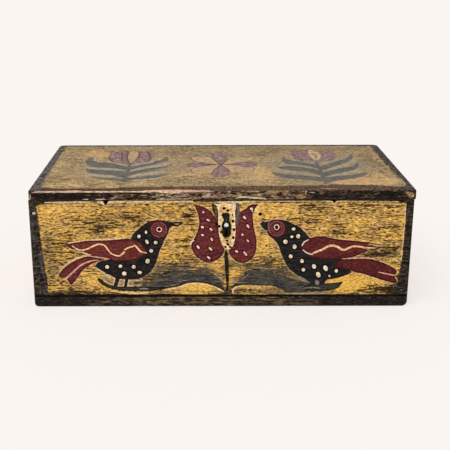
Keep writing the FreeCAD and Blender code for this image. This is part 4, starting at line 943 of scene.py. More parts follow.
def paint_lid_ground(canvas):
    canvas.area("panel", [
        (-172, 85.4, CORNER), (-173.8, 83), (-173.8, 0), (-173.2, -82, CORNER), (-150, -85), (-108, -85),
        (-90, -81), (-40, -79), (30, -77.5), (100, -76), (111, -73), (150, -76), (171, -79),
        (176, -77, CORNER), (177.2, -65), (175.8, -40), (174.8, 20), (174.6, 84, CORNER), (100, 86),
        (0, 85.5), (-100, 86),
    ])
    canvas.shade("brush", [
        (-130, 70, 40, 12, 0.04), (0, 74, 60, 12, 0.08), (60, 60, 14, 24, 0.08), (-45, 60, 14, 20, 0.06),
        (150, 70, 24, 12, 0.06), (0, 46, 34, 10, 0.06), (45, 45, 10, 10, 0.08), (-40, -56, 30, 12, 0.04),
        (145, -64, 30, 10, -0.22), (42, -34, 10, 20, -0.16), (160, 10, 14, 40, 0.1),
        (105, 70, 30, 10, 0.06), (-160, 20, 10, 50, 0.03),
    ])
    canvas.shade("haze", [
        (-97, -12, 46, 40, 1.5), (103, -2, 50, 46, 1.7), (1, 44, 30, 18, 0.6), (-35, 4, 12, 30, 0.35),
        (34, 8, 12, 24, 0.35), (60, -50, 20, 16, 0.3), (-60, 56, 16, 22, 0.3), (0, 82, 190, 8, 0.5),
        (95, -72, 16, 9, 0.9),
    ])
    canvas.shade("warm", [
        (142, -62, 34, 12, 1.3), (42, -34, 12, 24, 1.1), (0, 76, 190, 18, -0.8), (-45, 40, 20, 40, -0.4),
        (-134, 52, 20, 16, 1.2), (60, 50, 16, 30, -0.6), (-48, -30, 10, 20, 0.5),
    ])
    canvas.strokes("pale", [
        [(-174.6, 80, 0.7), (-174.4, 0, 0.8), (-174, -76, 0.8)],
        [(176.4, -20, 0.5), (177.8, -60, 1), (177, -74, 1.1), (172, -79.6, 0.9), (150, -76.6, 0.6)],
    ])
    canvas.strokes("salmon", [
        [(-148, -92.2, 0.8), (-140, -91.8, 2), (-132, -92.2, 0.8)],
        [(-76, -92.2, 0.8), (-66, -91.6, 2.2), (-42, -91.2, 3.4), (-28, -91.8, 2), (-12, -92.2, 1)],
        [(94, -88, 1), (103, -87.4, 1.6), (111, -88, 0.8)],
    ])
    canvas.stroke("line", [(-172, -87.4, 2.4), (-130, -87.6, 3), (-92, -86.6, 2.4), (-84, -83, 1.4)])


def paint_lid(across, up):
    canvas = Canvas(across, up)
    paint_lid_ground(canvas)
    paint_left_flower(canvas)
    paint_right_flower(canvas)
    paint_rosette(canvas)
    return canvas


def paint_lid_edge(across, up):
    """Wear along the lid's front edge: across is x and up is z."""
    canvas = Canvas(across, up)
    canvas.shade("rubbed", [
        (-30, 115, 44, 30, 0.9), (25, 115, 36, 30, 0.9), (68, 115, 22, 30, 0.8), (-95, 115, 22, 30, 0.3),
        (178, 115.5, 4, 4, 0.8), (-150, 114.6, 34, 3.4, -0.5), (130, 113, 40, 30, -0.1),
    ])
    canvas.strokes("salmon", [
        [(-180, 118.4, 0.8), (-172, 119, 1.4), (-158, 119.4, 1.9), (-130, 119.4, 2.2), (-100, 119.4, 2.1),
         (-58, 119.6, 2.2)],
        [(-39, 119.6, 1.6), (-24, 119.4, 1.4), (-10, 119.8, 1)],
    ])
    canvas.area("salmon", [
        (-60, 119), (-57, 117.8), (-50, 117.2), (-44, 117.6), (-39, 118.8), (-39, 122), (-60, 122),
    ])
    canvas.strokes("cream", [
        [(13.5, 112.4, 0.8), (17, 113.6, 1.4), (23, 113.6, 1.5), (31, 112.8, 1.5), (42, 111.6, 0.8)],
        [(-131.6, 111.5, 0.9), (-126.8, 111.6, 0.9)], [(-119, 111.5, 0.8), (-111, 111.7, 1)],
        [(-62, 111.6, 0.6), (-50, 111.8, 0.9), (-34, 112, 0.8), (-29, 112.4, 0.9)],
        [(-8.6, 118, 0.5), (-7.4, 115, 0.8), (-8, 112.4, 0.5)],
        [(8, 119, 0.4), (5.6, 116, 0.7), (9, 113, 0.4)],
        [(-182.2, 111.6, 0.8), (-181.6, 114.6, 1.1), (-182, 118, 0.8)],
    ])
    canvas.dot("cream", 181, 113.8, 0.8)
    canvas.areas("bare", [
        [(42, 120.6), (43, 117.6), (50, 116.6), (58, 117), (63, 118.4), (64, 120.6)],
        [(70.6, 114.4), (72.4, 116), (75.6, 116.4), (79, 115.2), (80.4, 113.6), (77, 112.6), (72.6, 112.8)],
        [(173, 118.6), (178, 118), (181.8, 116.4), (181.2, 113.4), (178, 112.6), (176.4, 114.8)],
        [(21, 114.6), (26, 115.8), (33, 115.6), (33, 114.4), (26, 114)],
    ])
    # Dark lines on the lid's front edge; those along its foot are the painted shadow of the gap above the
    # rim.
    canvas.strokes("gap", [
        [(12.5, 111.3, 0.9), (40, 110.8, 1.2), (70, 111, 1.4), (100, 110.9, 1.8), (140, 110.8, 1.4),
         (184, 110.8, 1)],
        [(-184, 110.7, 0.9), (-120, 110.6, 0.9), (-40, 110.6, 0.9)],
        [(-176, 117.6, 0.8), (-150, 117.4, 0.9), (-100, 117.4, 0.7)],
    ])
    return canvas


# Cutting a board's face fine enough to carry its painting

FLAT = 0.98  # how nearly a face's normal lies along an axis when the face is flat
FRONT_REACH = 2.5  # how far a front's painting reaches back round its edges, in millimetres
TOP_REACH = 1.5  # how far the painting on the lid's top reaches down round its edges
FACE, EDGES, INSIDE = range(3)  # a painted board's slots


def halve(mesh, faces, axis, start, step, low, high):
    """Cuts faces by evenly spaced planes, the middle one first."""
    if high - low < 2 or not faces:
        return faces
    middle = (low + high) // 2
    where = start + middle * step
    normal = Vector([float(index == axis) for index in range(3)])
    edges = list({edge for face in faces for edge in face.edges})
    cut = bmesh.ops.bisect_plane(
        mesh, geom=faces + edges, dist=1e-7, plane_co=normal * where, plane_no=normal
    )
    lower, upper = [], []
    for piece in cut["geom"]:
        if isinstance(piece, bmesh.types.BMFace):
            side = upper if piece.calc_center_median()[axis] > where else lower
            side.append(piece)
    below = halve(mesh, lower, axis, start, step, low, middle)
    return below + halve(mesh, upper, axis, start, step, middle, high)


def cut_across(mesh, faces, axis, pitch):
    """Cuts faces across an axis into strips about a pitch wide."""
    values = [vertex.co[axis] for face in faces for vertex in face.verts]
    start, end = min(values), max(values)
    count = max(1, round((end - start) / pitch))
    return halve(mesh, faces, axis, start, (end - start) / count, 0, count)


def board_copy(node):
    """A copy of a board's solid, merged, with its flat faces whole again."""
    mesh = bmesh.new()
    mesh.from_mesh(nodes[node].data)
    bmesh.ops.remove_doubles(mesh, verts=mesh.verts, dist=2e-6)
    bmesh.ops.dissolve_limit(mesh, angle_limit=math.radians(0.2), verts=mesh.verts, edges=mesh.edges)
    return mesh


def mesh_pitch(coarser=1.0):
    return paints().pitch * coarser * 1


def facing(mesh, axis, sign):
    """The faces that look along an axis."""
    return [face for face in mesh.faces if face.normal[axis] * sign > FLAT]


def front_arris(mesh):
    """The narrow rounding faces between a board's top and its front."""
    return [face for face in mesh.faces if -FLAT < face.normal.y < -0.1 and 0.1 < face.normal.z < FLAT]


def finish_board(mesh, name, node, body, materials):
    """Makes the mesh an object that stands for its node."""
    data = bpy.data.meshes.new(name)
    mesh.to_mesh(data)
    mesh.free()
    for material in materials:
        data.materials.append(material)
    for polygon in data.polygons:
        polygon.use_smooth = True
    data.set_sharp_from_angle(angle=math.radians(28))
    board = bpy.data.objects.new(name, data)
    bpy.context.scene.collection.objects.link(board)
    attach(board, body)
    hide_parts(node)
    return board


def places(data):
    """The mesh's points in millimetres, one row each."""
    values = np.zeros(len(data.vertices) * 3, np.float32)
    data.vertices.foreach_get("co", values)
    return values.reshape(-1, 3) / MM


# Finishes


def front_ground(paint):
    """The ochre panel, clean or hazed in places, on the black."""
    settings = paints()
    brush, warm = paint.layer("brush"), paint.layer("warm")
    paint.brush_ochre(brush, warm, settings.ochre, settings.ochre_worn, settings.ochre_olive)
    paint.grit(4.5, 1.5, 0.45)
    fleck, fine = paint.fleck - 0.5, paint.fine - 0.5
    paint.coat(linear(224, 177, 82), paint.rise(warm + fleck, 0.6, 1.3) * 0.9)
    paint.haze = paint.rise(paint.layer("haze") + fleck * 1.2 + fine, 0.1, 0.9)
    paint.coat(linear(118, 103, 76), paint.haze * 0.8)
    left_border = paint.rise(paint.x, -164, -172) * paint.rise(paint.z, 12, 14)
    upright = paint.rise(paint.streak(14, 2.2, roughness=0.6, axis=Z_AXIS), 0.42, 0.66)
    black = paint.blend(paint.black(), linear(104, 98, 97), upright * left_border * 0.4)
    paint.lay_panel(black, paint.edge("panel", 1.6, 0.5, fine * 4.0))
    paint.coat(linear(34, 22, 11), paint.bare * paint.panel * 0.92)
    tan = paint.blend(linear(122, 106, 74), linear(170, 148, 112), paint.rise(paint.fleck, 0.42, 0.58))
    tan = paint.blend(tan, linear(216, 192, 156), paint.band("tan", 0.6, -0.1, 0.9, 0.3) * 0.7)
    paint.coat(tan, paint.edge("tan", 0.6, 0.3) * 0.9)


def front_halo(paint):
    """The pale line round the birds and the tulip."""
    outside = paint.within(paint.layer("bird", "red", "cream") + paint.off * 0.4, -1.3, -0.1, 0.25)
    paint.coat(paints().halo, outside * (paint.broken * 0.6 + 0.08) * (1 - paint.haze * 0.4))


def leaf_paint(paint):
    """Grey-green, dark in some strokes, pale in others where the brush ran dry, and slate in the middle."""
    settings = paints()
    strokes = paint.streak(16, 2.4, roughness=0.6)
    leaf = paint.blend(settings.leaf, linear(40, 38, 36), 1 - paint.rise(strokes, 0.36, 0.52))
    dry = paint.rise(strokes * 0.6 + paint.fleck * 0.4, 0.50, 0.60)
    leaf = paint.blend(leaf, settings.leaf_pale, dry * 0.85)
    leaf = paint.blend(leaf, linear(150, 138, 114), paint.rise(paint.mixed, 0.56, 0.64) * 0.6)
    slate = paint.blend(linear(48, 50, 49), linear(84, 82, 78), paint.rise(paint.fine, 0.44, 0.60))
    middle = paint.rise(paint.layer("slate") + paint.off * 2 + (paint.fleck - 0.5) * 6, -1.4, 1.0)
    return paint.blend(leaf, slate, middle * 0.8)


def front_leaves(paint):
    """Leaves, perches and the stem, with their pale and dark rims."""
    leaf = leaf_paint(paint)
    fine = paint.fine - 0.5
    dry = paint.edge("dry_leaf", 1, 0.5, fine * 30 + 0.5)
    paint.coat(leaf, paint.larger(paint.edge("leaf", 1, 0.3, fine * 2.5), dry * 0.75))
    perch = paint.blend(leaf, linear(46, 50, 48), 0.75)
    perch = paint.blend(perch, linear(22, 21, 18), paint.band("perch", 0.5, -0.2, 1.3, 0.3) * 0.85)
    paint.coat(perch, paint.edge("perch", 0.5))
    crescent = paint.blend(linear(236, 200, 142), linear(162, 148, 114), paint.rise(paint.x, 6, 34))
    paint.coat(crescent, paint.edge("crescent", 0.3, 0.25, 0.1) * 0.85)
    paint.coat(linear(28, 24, 19), paint.edge("shade", 0.4, 0.25) * 0.8)
    stem = paint.blend(linear(30, 27, 21), linear(70, 64, 50), paint.rise(paint.fleck, 0.52, 0.6) * 0.6)
    paint.coat(stem, paint.edge("stem", 0.5, 0.3))
    paint.coat(linear(160, 148, 128), paint.edge("vein", 0.4) * 0.8)


def red_paint(paint):
    """The dark red, plum in strokes, worn to dull pink, deeper on the right, browner by the wings' wave."""
    settings = paints()
    red = paint.strokes(settings.red, settings.red_plum, 18, 5, 0.9)
    worn = paint.rise(paint.fleck * 0.6 + paint.fine * 0.4, 0.53, 0.62)
    red = paint.blend(red, linear(142, 88, 74), worn * 0.65)
    red = paint.blend(red, linear(62, 20, 24), paint.rise(paint.x, 58, 74) * 0.45)
    near_wave = paint.rise(paint.layer("dash"), -5, -1) * paint.rise(abs(paint.x), 50, 70)
    return paint.blend(red, linear(124, 60, 40), near_wave * 0.35)


def front_birds(paint):
    """The birds' black, and all that is red."""
    bird = paint.strokes(paints().bird_black, linear(58, 54, 52), 9, 2.4, 0.6)
    paint.coat(bird, paint.edge("bird", 0.7))
    fading = paint.rise(paint.x, 132, 156) * paint.rise(paint.z, 51, 57) * (paint.fine - 0.56) * 40
    paint.coat(red_paint(paint), paint.edge("red", 0.6, shift=fading))
    paint.coat(linear(46, 16, 14), paint.band("red", 0.6, 0.05, 1.3, 0.3) * 0.7)
    paint.coat(linear(58, 16, 20), paint.band("ring", 0, -1.5, -0.3, 0.3) * 0.6)
    paint.coat(linear(146, 84, 86), paint.edge("ring", 0.3, 0.4) * (paint.broken * 0.5 + 0.5) * 0.7)


def front_cream(paint):
    """The cream petal round the keyhole, its smudged sides and its dark spots."""
    cream = paint.strokes(paints().cream, linear(208, 168, 104), 8, 3, 0.9, Z_AXIS)
    near_lock = paint.rise(paint.layer("cream"), 2.0, 4.2) * paint.rise(paint.fleck, 0.36, 0.54)
    cream = paint.blend(cream, linear(206, 164, 94), near_lock * 0.85)
    cream = paint.blend(cream, linear(250, 226, 192), paint.band("cream", 1, 0.1, 1.2, 0.3) * 0.7)
    worn = paint.rise(paint.mixed, 0.57, 0.63) * 0.6
    paint.coat(cream, paint.edge("cream", 0.6) * (1 - worn))
    paint.coat(linear(4, 3, 3), paint.edge("ink", 0.3, 0.2, 0.1))
    smudge = paint.blend(linear(66, 60, 46), linear(92, 82, 80), paint.rise(paint.x, 0, 8))
    paint.coat(smudge, paint.edge("smudge", 0.6, 0.5) * 0.9)
    paint.coat(linear(30, 20, 16), paint.edge("shade", 0.3, 0.25) * paint.rise(paint.z, 80, 82) * 0.85)
    paint.coat(linear(4, 2, 1), paint.edge("spot", 0.15, 0.15, 0.15))


def front_marks(paint):
    """Dashes, dots, eyes and fine pale lines."""
    settings = paints()
    paint.coat(linear(40, 12, 8), paint.band("dash", 0.3, -1.0, -0.05, 0.2) * 0.7)
    dash = paint.blend(settings.dash, settings.dash_pale, paint.within(paint.x, -34, 38, 1))
    dash = paint.blend(dash, linear(250, 218, 186), paint.rise(paint.fleck, 0.48, 0.6) * 0.7)
    paint.dash = paint.edge("dash", 0.25, 0.14, 0.1)
    paint.coat(dash, paint.dash)
    paint.coat(linear(214, 160, 138), paint.edge("split", 0.4))
    paint.coat(linear(236, 208, 194), paint.edge("outline", 0.4))
    paint.coat(linear(12, 9, 8), paint.band("dot", 0, -1.3, -0.1, 0.3) * 0.8)
    dot = paint.strokes(settings.dot, linear(214, 188, 140), 3, 2, 0.8)
    paint.coat(dot, paint.edge("dot", 0.3, 0.2))
    paint.coat(linear(140, 138, 134), paint.edge("grey", 0.5, 0.4) * 0.85)
    paint.coat(linear(52, 14, 16), paint.band("eye", 0, -1.1, -0.1, 0.2) * 0.8)
    paint.coat(linear(240, 200, 180), paint.edge("eye", 0, 0.2))
    paint.coat(linear(14, 10, 10), paint.edge("pupil", 0, 0.2))


def front_finish():
    """The front board's painted face."""
    paint = Paint("front board paint", prefix="front_", thick=0.85, length=0.8)
    paint.broken = paint.rise(paint.noise(6), 0.42, 0.58)
    for lay in (front_ground, front_halo, front_leaves, front_birds, front_cream, front_marks):
        lay(paint)
    chipped = paint.rise(paint.streak(9, 3), 0.26, 0.42)
    paint.coat(linear(232, 204, 156), paint.edge("pale", 0.6, 0.3) * chipped * 0.85)
    joint_height = BOTTOM_HIGH.z + 2.3
    joint = joint_height - paint.z + paint.off * 0.5 + (paint.fine - 0.5) * 1.5
    paint.coat(linear(14, 10, 7), paint.rise(joint, -0.3, 0.3) * 0.9)
    paint.grit()
    height = paint.relief() + paint.raised(("leaf", "bird", "red", "cream"), 0.5) + paint.dash * 0.05
    return paint.finish(paint.colour, 0.66 + paint.fleck * 0.18, height, specular=0.03)


def lid_border(paint):
    """The lid's black border, greyed in specks partly as painted sheen, brown along the front and grey on the
    left.
    """
    brown = paint.rise(paint.y, -70, -80) * paint.rise(170 - abs(paint.x), 0, 8)
    left_border = paint.rise(paint.x, -168, -174)
    # Grey specks over the black: partly painted sheen of the lid's top.
    grey = paint.rise(paint.speck * 0.5 + paint.fleck * 0.5, 0.46, 0.56)
    black = paint.blend(paint.black(), linear(96, 84, 76), grey * 0.7)
    black = paint.blend(black, linear(104, 78, 54), paint.rise(paint.mixed, 0.40, 0.52) * brown * 0.9)
    black = paint.blend(black, linear(40, 27, 19), paint.rise(1 - paint.fleck, 0.50, 0.58) * brown * 0.7)
    return paint.blend(black, linear(124, 116, 112), paint.rise(paint.speck, 0.40, 0.56) * left_border * 0.5)


def lid_ground(paint):
    """The lid's ochre panel, greyed all over by a painted sheen, hazed and orange in places."""
    settings = paints()
    brush, warm = paint.layer("brush"), paint.layer("warm")
    paint.brush_ochre(brush, warm, settings.lid_ochre, settings.lid_ochre_worn, settings.lid_olive)
    # Painted sheen: a grey coat over the whole top, heavier in broad streaks.
    sheen = paint.rise(paint.streak(36, 30) - warm * 0.12, 0.38, 0.62)
    paint.coat(linear(148, 130, 100), sheen * 0.5 + 0.08)
    paint.coat(linear(92, 76, 54), paint.bare * 0.6)
    haze = paint.layer("haze") + (paint.speck - 0.5) * 1.4 + (paint.fleck - 0.5) * 1.2
    paint.coat(linear(142, 127, 106), paint.rise(haze, 0.1, 1.0) * 0.75)
    paint.coat(linear(190, 153, 106), paint.rise(warm + (paint.fleck - 0.5) * 0.8, 0.3, 0.9) * 0.8)
    paint.lay_panel(lid_border(paint), paint.edge("panel", 2.4, 1.0, (paint.fine - 0.5) * 10))
    paint.coat(linear(34, 22, 14), paint.edge("line", 1, 0.5) * 0.8)


def lid_leaves(paint):
    """Grey leaves with a pale glow beside them."""
    speck = paint.speck - 0.5
    glow = paint.blend(linear(176, 164, 148), linear(166, 153, 122), paint.rise(paint.x, 20, 60))
    paint.coat(glow, paint.rise(paint.layer("glow") + paint.off * 2 + speck * 8, -1.8, 2.2) * 0.7)
    leaf = paint.strokes(linear(78, 84, 83), linear(106, 103, 98), 8, 4, 0.9)
    leaf = paint.blend(leaf, linear(72, 68, 60), paint.rise(paint.speck, 0.54, 0.66) * 0.7)
    paint.coat(leaf, paint.edge("leaf", 1.4, 0.9, speck * 3) * 0.88)


def lid_petals(paint):
    """Ochre and purple petals, with their rims and dark lines."""
    settings = paints()
    speck = paint.speck - 0.5
    flower = paint.strokes(settings.flower, linear(200, 170, 134), 8, 4, 0.8)
    flower = paint.blend(flower, linear(140, 112, 82), paint.rise(paint.speck, 0.54, 0.64) * 0.6)
    paint.coat(flower, paint.edge("flower", 1, 0.8, speck * 6) * 0.85)
    paint.coat(linear(206, 180, 148), paint.band("flower", 1, 1.4, 2.6, 0.7) * paint.broken * 0.6)
    rim = paint.blend(linear(110, 84, 66), linear(206, 184, 150), paint.rise(paint.x, 60, 64))
    paint.coat(rim, paint.band("flower", 1, -0.7, 0.9, 0.6) * paint.broken * 0.75)
    purple = paint.strokes(settings.purple, settings.purple_pale, 5, 5, 0.9)
    purple = paint.blend(purple, linear(184, 160, 154), paint.rise(paint.fleck, 0.54, 0.62) * 0.8)
    purple = paint.blend(purple, linear(86, 64, 62), paint.rise(1 - paint.speck, 0.53, 0.62) * 0.8)
    depth = paint.layer("purple") + paint.off * 1.6 + speck * 8
    paint.coat(purple, paint.rise(depth, -0.8, 1.0) * 0.92)
    paint.coat(linear(84, 60, 58), paint.within(depth, -0.6, 1.2, 0.6) * paint.broken * 0.5)
    paint.coat(linear(80, 56, 46), paint.edge("ink", 0.5, 0.4) * 0.8)


def lid_finish():
    """The lid's painted top."""
    paint = Paint("lid top paint", prefix="lid_", thick=2.8, length=0.42)
    paint.speck = paint.streak(4.4, 5, roughness=0.7)
    paint.broken = paint.rise(paint.noise(5), 0.32, 0.5)
    for lay in (lid_ground, lid_leaves, lid_petals):
        lay(paint)
    chipped = paint.rise(paint.streak(9, 9), 0.34, 0.5)
    paint.coat(woods().bare, paint.edge("pale", 1, 0.3) * chipped * 0.8)
    paint.coat(linear(218, 176, 144), paint.edge("salmon", 1, 0.5) * 0.85)
    paint.grit(3.4, 4.2, 0.3)
    height = paint.relief() + paint.raised(("leaf", "purple", "flower"), 1)
    return paint.finish(paint.colour, 0.60 + paint.fleck * 0.2, height, specular=0.10)


def lid_edge_finish():
    """The lid's edges: black, rubbed down in the middle of the front to mottled brown wood."""
    paint = Paint("lid edge paint", prefix="edge_")
    fine, rubbed = paint.fine - 0.5, paint.layer("rubbed")
    streaky = paint.rise(paint.long + rubbed * 0.1, 0.38, 0.54)
    paint.colour = paint.blend(linear(26, 21, 17), paint.black(), streaky)
    mottle = paint.streak(5.5, 1.9, roughness=0.7)
    green = paint.rise(paint.streak(14, 5, 2), 0.46, 0.56)
    wood = paint.blend(linear(104, 80, 64), linear(106, 94, 62), green)
    wood = paint.blend(linear(30, 18, 11), wood, paint.rise(mottle, 0.40, 0.50))
    wood = paint.blend(wood, linear(196, 170, 142), paint.rise(mottle, 0.54, 0.62) * 0.85)
    rub = rubbed * 0.5 + (paint.fleck - 0.5) * 1.2 + fine + (paint.broad - 0.5) * 0.6
    paint.coat(wood, paint.rise(rub, 0.12, 0.36))
    salmon = paint.blend(linear(214, 172, 142), linear(236, 208, 182), paint.rise(paint.fleck, 0.46, 0.60))
    paint.coat(salmon, paint.edge("salmon", 0.8, 0.35, fine * 1.5) * 0.9)
    bare = paint.blend(linear(186, 148, 98), linear(120, 92, 58), paint.rise(mottle, 0.48, 0.58))
    chipped = paint.rise(paint.layer("bare") + paint.off * 1.4 + (mottle - 0.5) * 5, -0.6, 0.8)
    paint.coat(bare, chipped * paint.rise(mottle + paint.x * 0.0005, 0.42, 0.52) * 0.9)
    paint.coat(linear(224, 204, 176), paint.edge("cream", 0.6, 0.25) * 0.85)
    # Painted shadow of the gap between the lid and the rim, along the edge's foot.
    paint.coat(linear(16, 11, 8), paint.edge("gap", 0.8, 0.3, fine * 2) * 0.9)
    paint.grit()
    height = paint.fine * 0.14 + paint.fleck * 0.06
    return paint.finish(paint.colour, 0.66 + paint.fleck * 0.15, height, specular=0.06)


def end_finish(name, grain, panel_low, panel_high):
    """An end board's or the back's outside: an ochre panel with a black border, brushed like the front."""
    settings = paints()
    paint = Paint(name, grain, thick=0.85, length=0.8)
    along = (paint.x, paint.y)[grain]
    depth = paint.smaller(
        along - panel_low[0], panel_high[0] - along, paint.z - panel_low[1], panel_high[1] - paint.z
    )
    slow = paint.streak(60, 30, 2) - 0.5
    brush, warm = slow * 0.3 + 0.015, slow * -3
    paint.brush_ochre(brush, warm, settings.ochre, settings.ochre_worn, settings.ochre_olive)
    paint.lay_panel(paint.black(), paint.rise(depth + paint.off * 1.6 + (paint.fine - 0.5) * 3, -0.5, 0.5))
    paint.coat(linear(66, 45, 24), paint.bare * paint.panel * 0.9)
    paint.grit()
    return paint.finish(paint.colour, 0.64 + paint.fleck * 0.18, paint.relief(), specular=0.08)


def black_finish(name):
    """Plain black paint, rubbed to olive in the middle and deeper at both ends."""
    paint = Paint(name)
    paint.colour = paint.black()
    middle = paint.rise(paint.x, -150, -105) * (1 - paint.rise(paint.x, 60, 110))
    olive = paint.rise(paint.fine * 0.5 + paint.long * 0.5, 0.46, 0.55) * paint.rise(paint.broad, 0.38, 0.52)
    paint.coat(linear(116, 98, 70), olive * middle * 0.8)
    paint.coat(linear(26, 25, 24), (1 - middle) * 0.6)
    paint.grit()
    height = paint.fine * 0.12 + paint.fleck * 0.06
    return paint.finish(paint.colour, 0.66 + paint.fleck * 0.2, height, specular=0.06)


def pine_finish(name, grain=X_AXIS):
    """Aged bare pine, with its grain along an axis."""
    settings = woods()
    pine = Finish(name, grain)
    ring = pine.math("FRACT", pine.streak(560, 66, 1, 0.4) * 18 + pine.streak(90, 9, 2) * 0.4)
    late = pine.rise(ring, 0.25, 0.9) * (1 - pine.rise(ring, 0.9, 1.0))
    pore = pine.streak(24, 0.9)
    colour = pine.blend(settings.pine, settings.pine_dark, late * 0.42)
    colour = pine.blend(colour, settings.pine_dark, pine.rise(pore, 0.45, 0.75) * 0.4)
    colour = pine.blend(colour, linear(70, 52, 37), pine.rise(pine.noise(60, 4), 0.48, 0.76) * 0.6)
    return pine.finish(colour, 0.66 + pore * 0.16, pore * 0.10 + late * 0.05, specular=0.25)


def iron_finish(name, base, rust_share, metallic, roughness):
    """Iron with a dark skin, rust in its pits and rubbed high spots."""
    settings = irons()
    iron = Finish(name)
    pit = iron.noise(1.6, 5, 0.65)
    rust = iron.rise(pit * 0.5 + iron.noise(7) * 0.5, 0.62 - rust_share * 0.3, 0.76 - rust_share * 0.3)
    file_marks = iron.streak(9, 0.22, 2)
    colour = iron.blend(base, settings.bright, iron.rise(pit + file_marks * 0.4, 0.72, 0.92) * 0.25)
    colour = iron.blend(colour, settings.rust, rust)
    height = pit * 0.06 + file_marks * 0.03
    return iron.finish(colour, roughness + rust * 0.2 + pit * 0.08, height, metallic * (1 - rust * 0.85))


def nail_finish():
    """Rusty heads, painted over on the walls, and pale at the top of the front: rubbed heads with a painted
    glint.
    """
    iron = Finish("nail iron")
    pit = iron.noise(1.3, 4, 0.65)
    colour = iron.blend(linear(50, 43, 38), irons().rust, iron.rise(pit, 0.46, 0.62) * 0.8)
    painted = iron.rise(abs(iron.y), 88, 89) * (1 - iron.rise(pit, 0.58, 0.66) * 0.5)
    colour = iron.blend(colour, paints().undercoat, painted * 0.85)
    # Painted glint on the rubbed heads: the top nails of the front turn pale cream.
    bared = iron.rise(pit - iron.x * 0.001, 0.30, 0.60)
    rubbed = iron.rise(iron.z, 86, 92) * iron.rise(iron.y, -89, -90) * bared
    colour = iron.blend(colour, linear(214, 196, 176), rubbed * 0.9)
    return iron.finish(colour, 0.56 + pit * 0.2, pit * 0.08, 0.2, 0.2)


def key_pin_finish():
    """The lock's key pin: near white on its upper half as a painted highlight, bluish grey below."""
    iron = Finish("key pin iron")
    pit = iron.noise(0.8)
    # Painted highlight: the pin's upper half turns near white.
    upper = iron.rise(iron.z + (pit - 0.5) * 2, 82.6, 84.2)
    colour = iron.blend(linear(98, 106, 118), linear(244, 242, 236), upper)
    return iron.finish(colour, 0.30 + pit * 0.1, pit * 0.02, 0.2, 0.5)


def plug_finish():
    """The end grain of the plug."""
    wood = Finish("plug wood", Y_AXIS)
    ring = wood.streak(30, 1.2)
    colour = wood.blend(linear(88, 62, 40), linear(140, 104, 66), wood.rise(ring, 0.4, 0.62))
    colour = wood.blend(colour, linear(48, 36, 28), wood.rise(wood.noise(1.4), 0.5, 0.62) * 0.7)
    return wood.finish(colour, 0.7 + ring * 0.1, ring * 0.12)


def slot_by_face(mesh, choose):
    """Gives each face the finish that suits the way it looks."""
    for face in mesh.faces:
        face.material_index = choose(face.normal, face.calc_center_median() / MM)


# Operators


class BoxStage(bpy.types.Operator):
    """Lay the floor, light it and set the camera where the box was looked at"""

    bl_idname = "painted_box.stage"
    bl_label = "Stage"

    def execute(self, context):
        settings = context.scene.box_stage
        self.lay_floor(settings)
        self.light(context, settings)
        self.set_camera(context)
        context.scene.view_settings.view_transform = "Standard"
        return {"FINISHED"}

    def lay_floor(self, settings):
        mesh = bmesh.new()
        bmesh.ops.create_grid(mesh, x_segments=1, y_segments=1, size=settings.floor_size / 2)
        data = bpy.data.meshes.new("floor")
        mesh.to_mesh(data)
        mesh.free()
        paper = Finish("floor paper")
        diffuse = paper.node("ShaderNodeBsdfDiffuse", {}, {"Color": settings.backdrop})
        glow = paper.node("ShaderNodeEmission", {}, {"Color": settings.backdrop, "Strength": 1.0})
        share = paper.seen_share() * (1 - settings.shadow)
        surface = paper.node("ShaderNodeMixShader", {}, {0: share, 1: diffuse, 2: glow})
        paper.add("ShaderNodeOutputMaterial", {}, {"Surface": surface})
        data.materials.append(paper.material)
        floor = bpy.data.objects.new("floor", data)
        bpy.context.scene.collection.objects.link(floor)

    def light(self, context, settings):
        world = bpy.data.worlds.new("studio")
        context.scene.world = world
        world.use_nodes = True
        sky = Shader(world.node_tree)
        inputs = {"Value": sky.seen_share(), "To Min": settings.world_light, "To Max": 1.0}
        strength = sky.node("ShaderNodeMapRange", {}, inputs)
        glow = sky.node("ShaderNodeBackground", {}, {"Color": settings.backdrop, "Strength": strength})
        sky.add("ShaderNodeOutputWorld", {}, {"Surface": glow})
        lamp = bpy.data.lights.new("key", "SUN")
        lamp.energy = settings.key_light
        lamp.angle = math.radians(50)
        key = bpy.data.objects.new("key", lamp)
        towards_lamp = Vector((-0.35, -0.75, 1.35))
        key.rotation_euler = towards_lamp.to_track_quat("Z", "Y").to_euler()
        context.scene.collection.objects.link(key)

    def set_camera(self, context):
        """The eye's place in millimetres and its turn, from the box's straight edges."""
        place = Vector((-18.3, -829.2, 341.0))
        image_width = 450
        focal_length = 814.3
        aim_across, aim_down = 200, 190
        yaw, pitch, roll = 0.00319, -0.29061, 0.00326
        camera = bpy.data.objects.new("camera", bpy.data.cameras.new("camera"))
        camera.data.sensor_width = 36
        camera.data.lens = focal_length / image_width * camera.data.sensor_width
        camera.data.shift_x = (image_width / 2 - aim_across) / image_width
        camera.data.shift_y = (aim_down - image_width / 2) / image_width
        camera.data.clip_end = 100
        turn = Matrix.Rotation(yaw, 3, "Z") @ Matrix.Rotation(pitch, 3, "X") @ Matrix.Rotation(roll, 3, "Y")
        looking_ahead = Matrix.Rotation(math.radians(90), 3, "X")
        camera.rotation_euler = (turn @ looking_ahead).to_euler()
        camera.location = place * MM
        context.scene.collection.objects.link(camera)
        context.scene.camera = camera


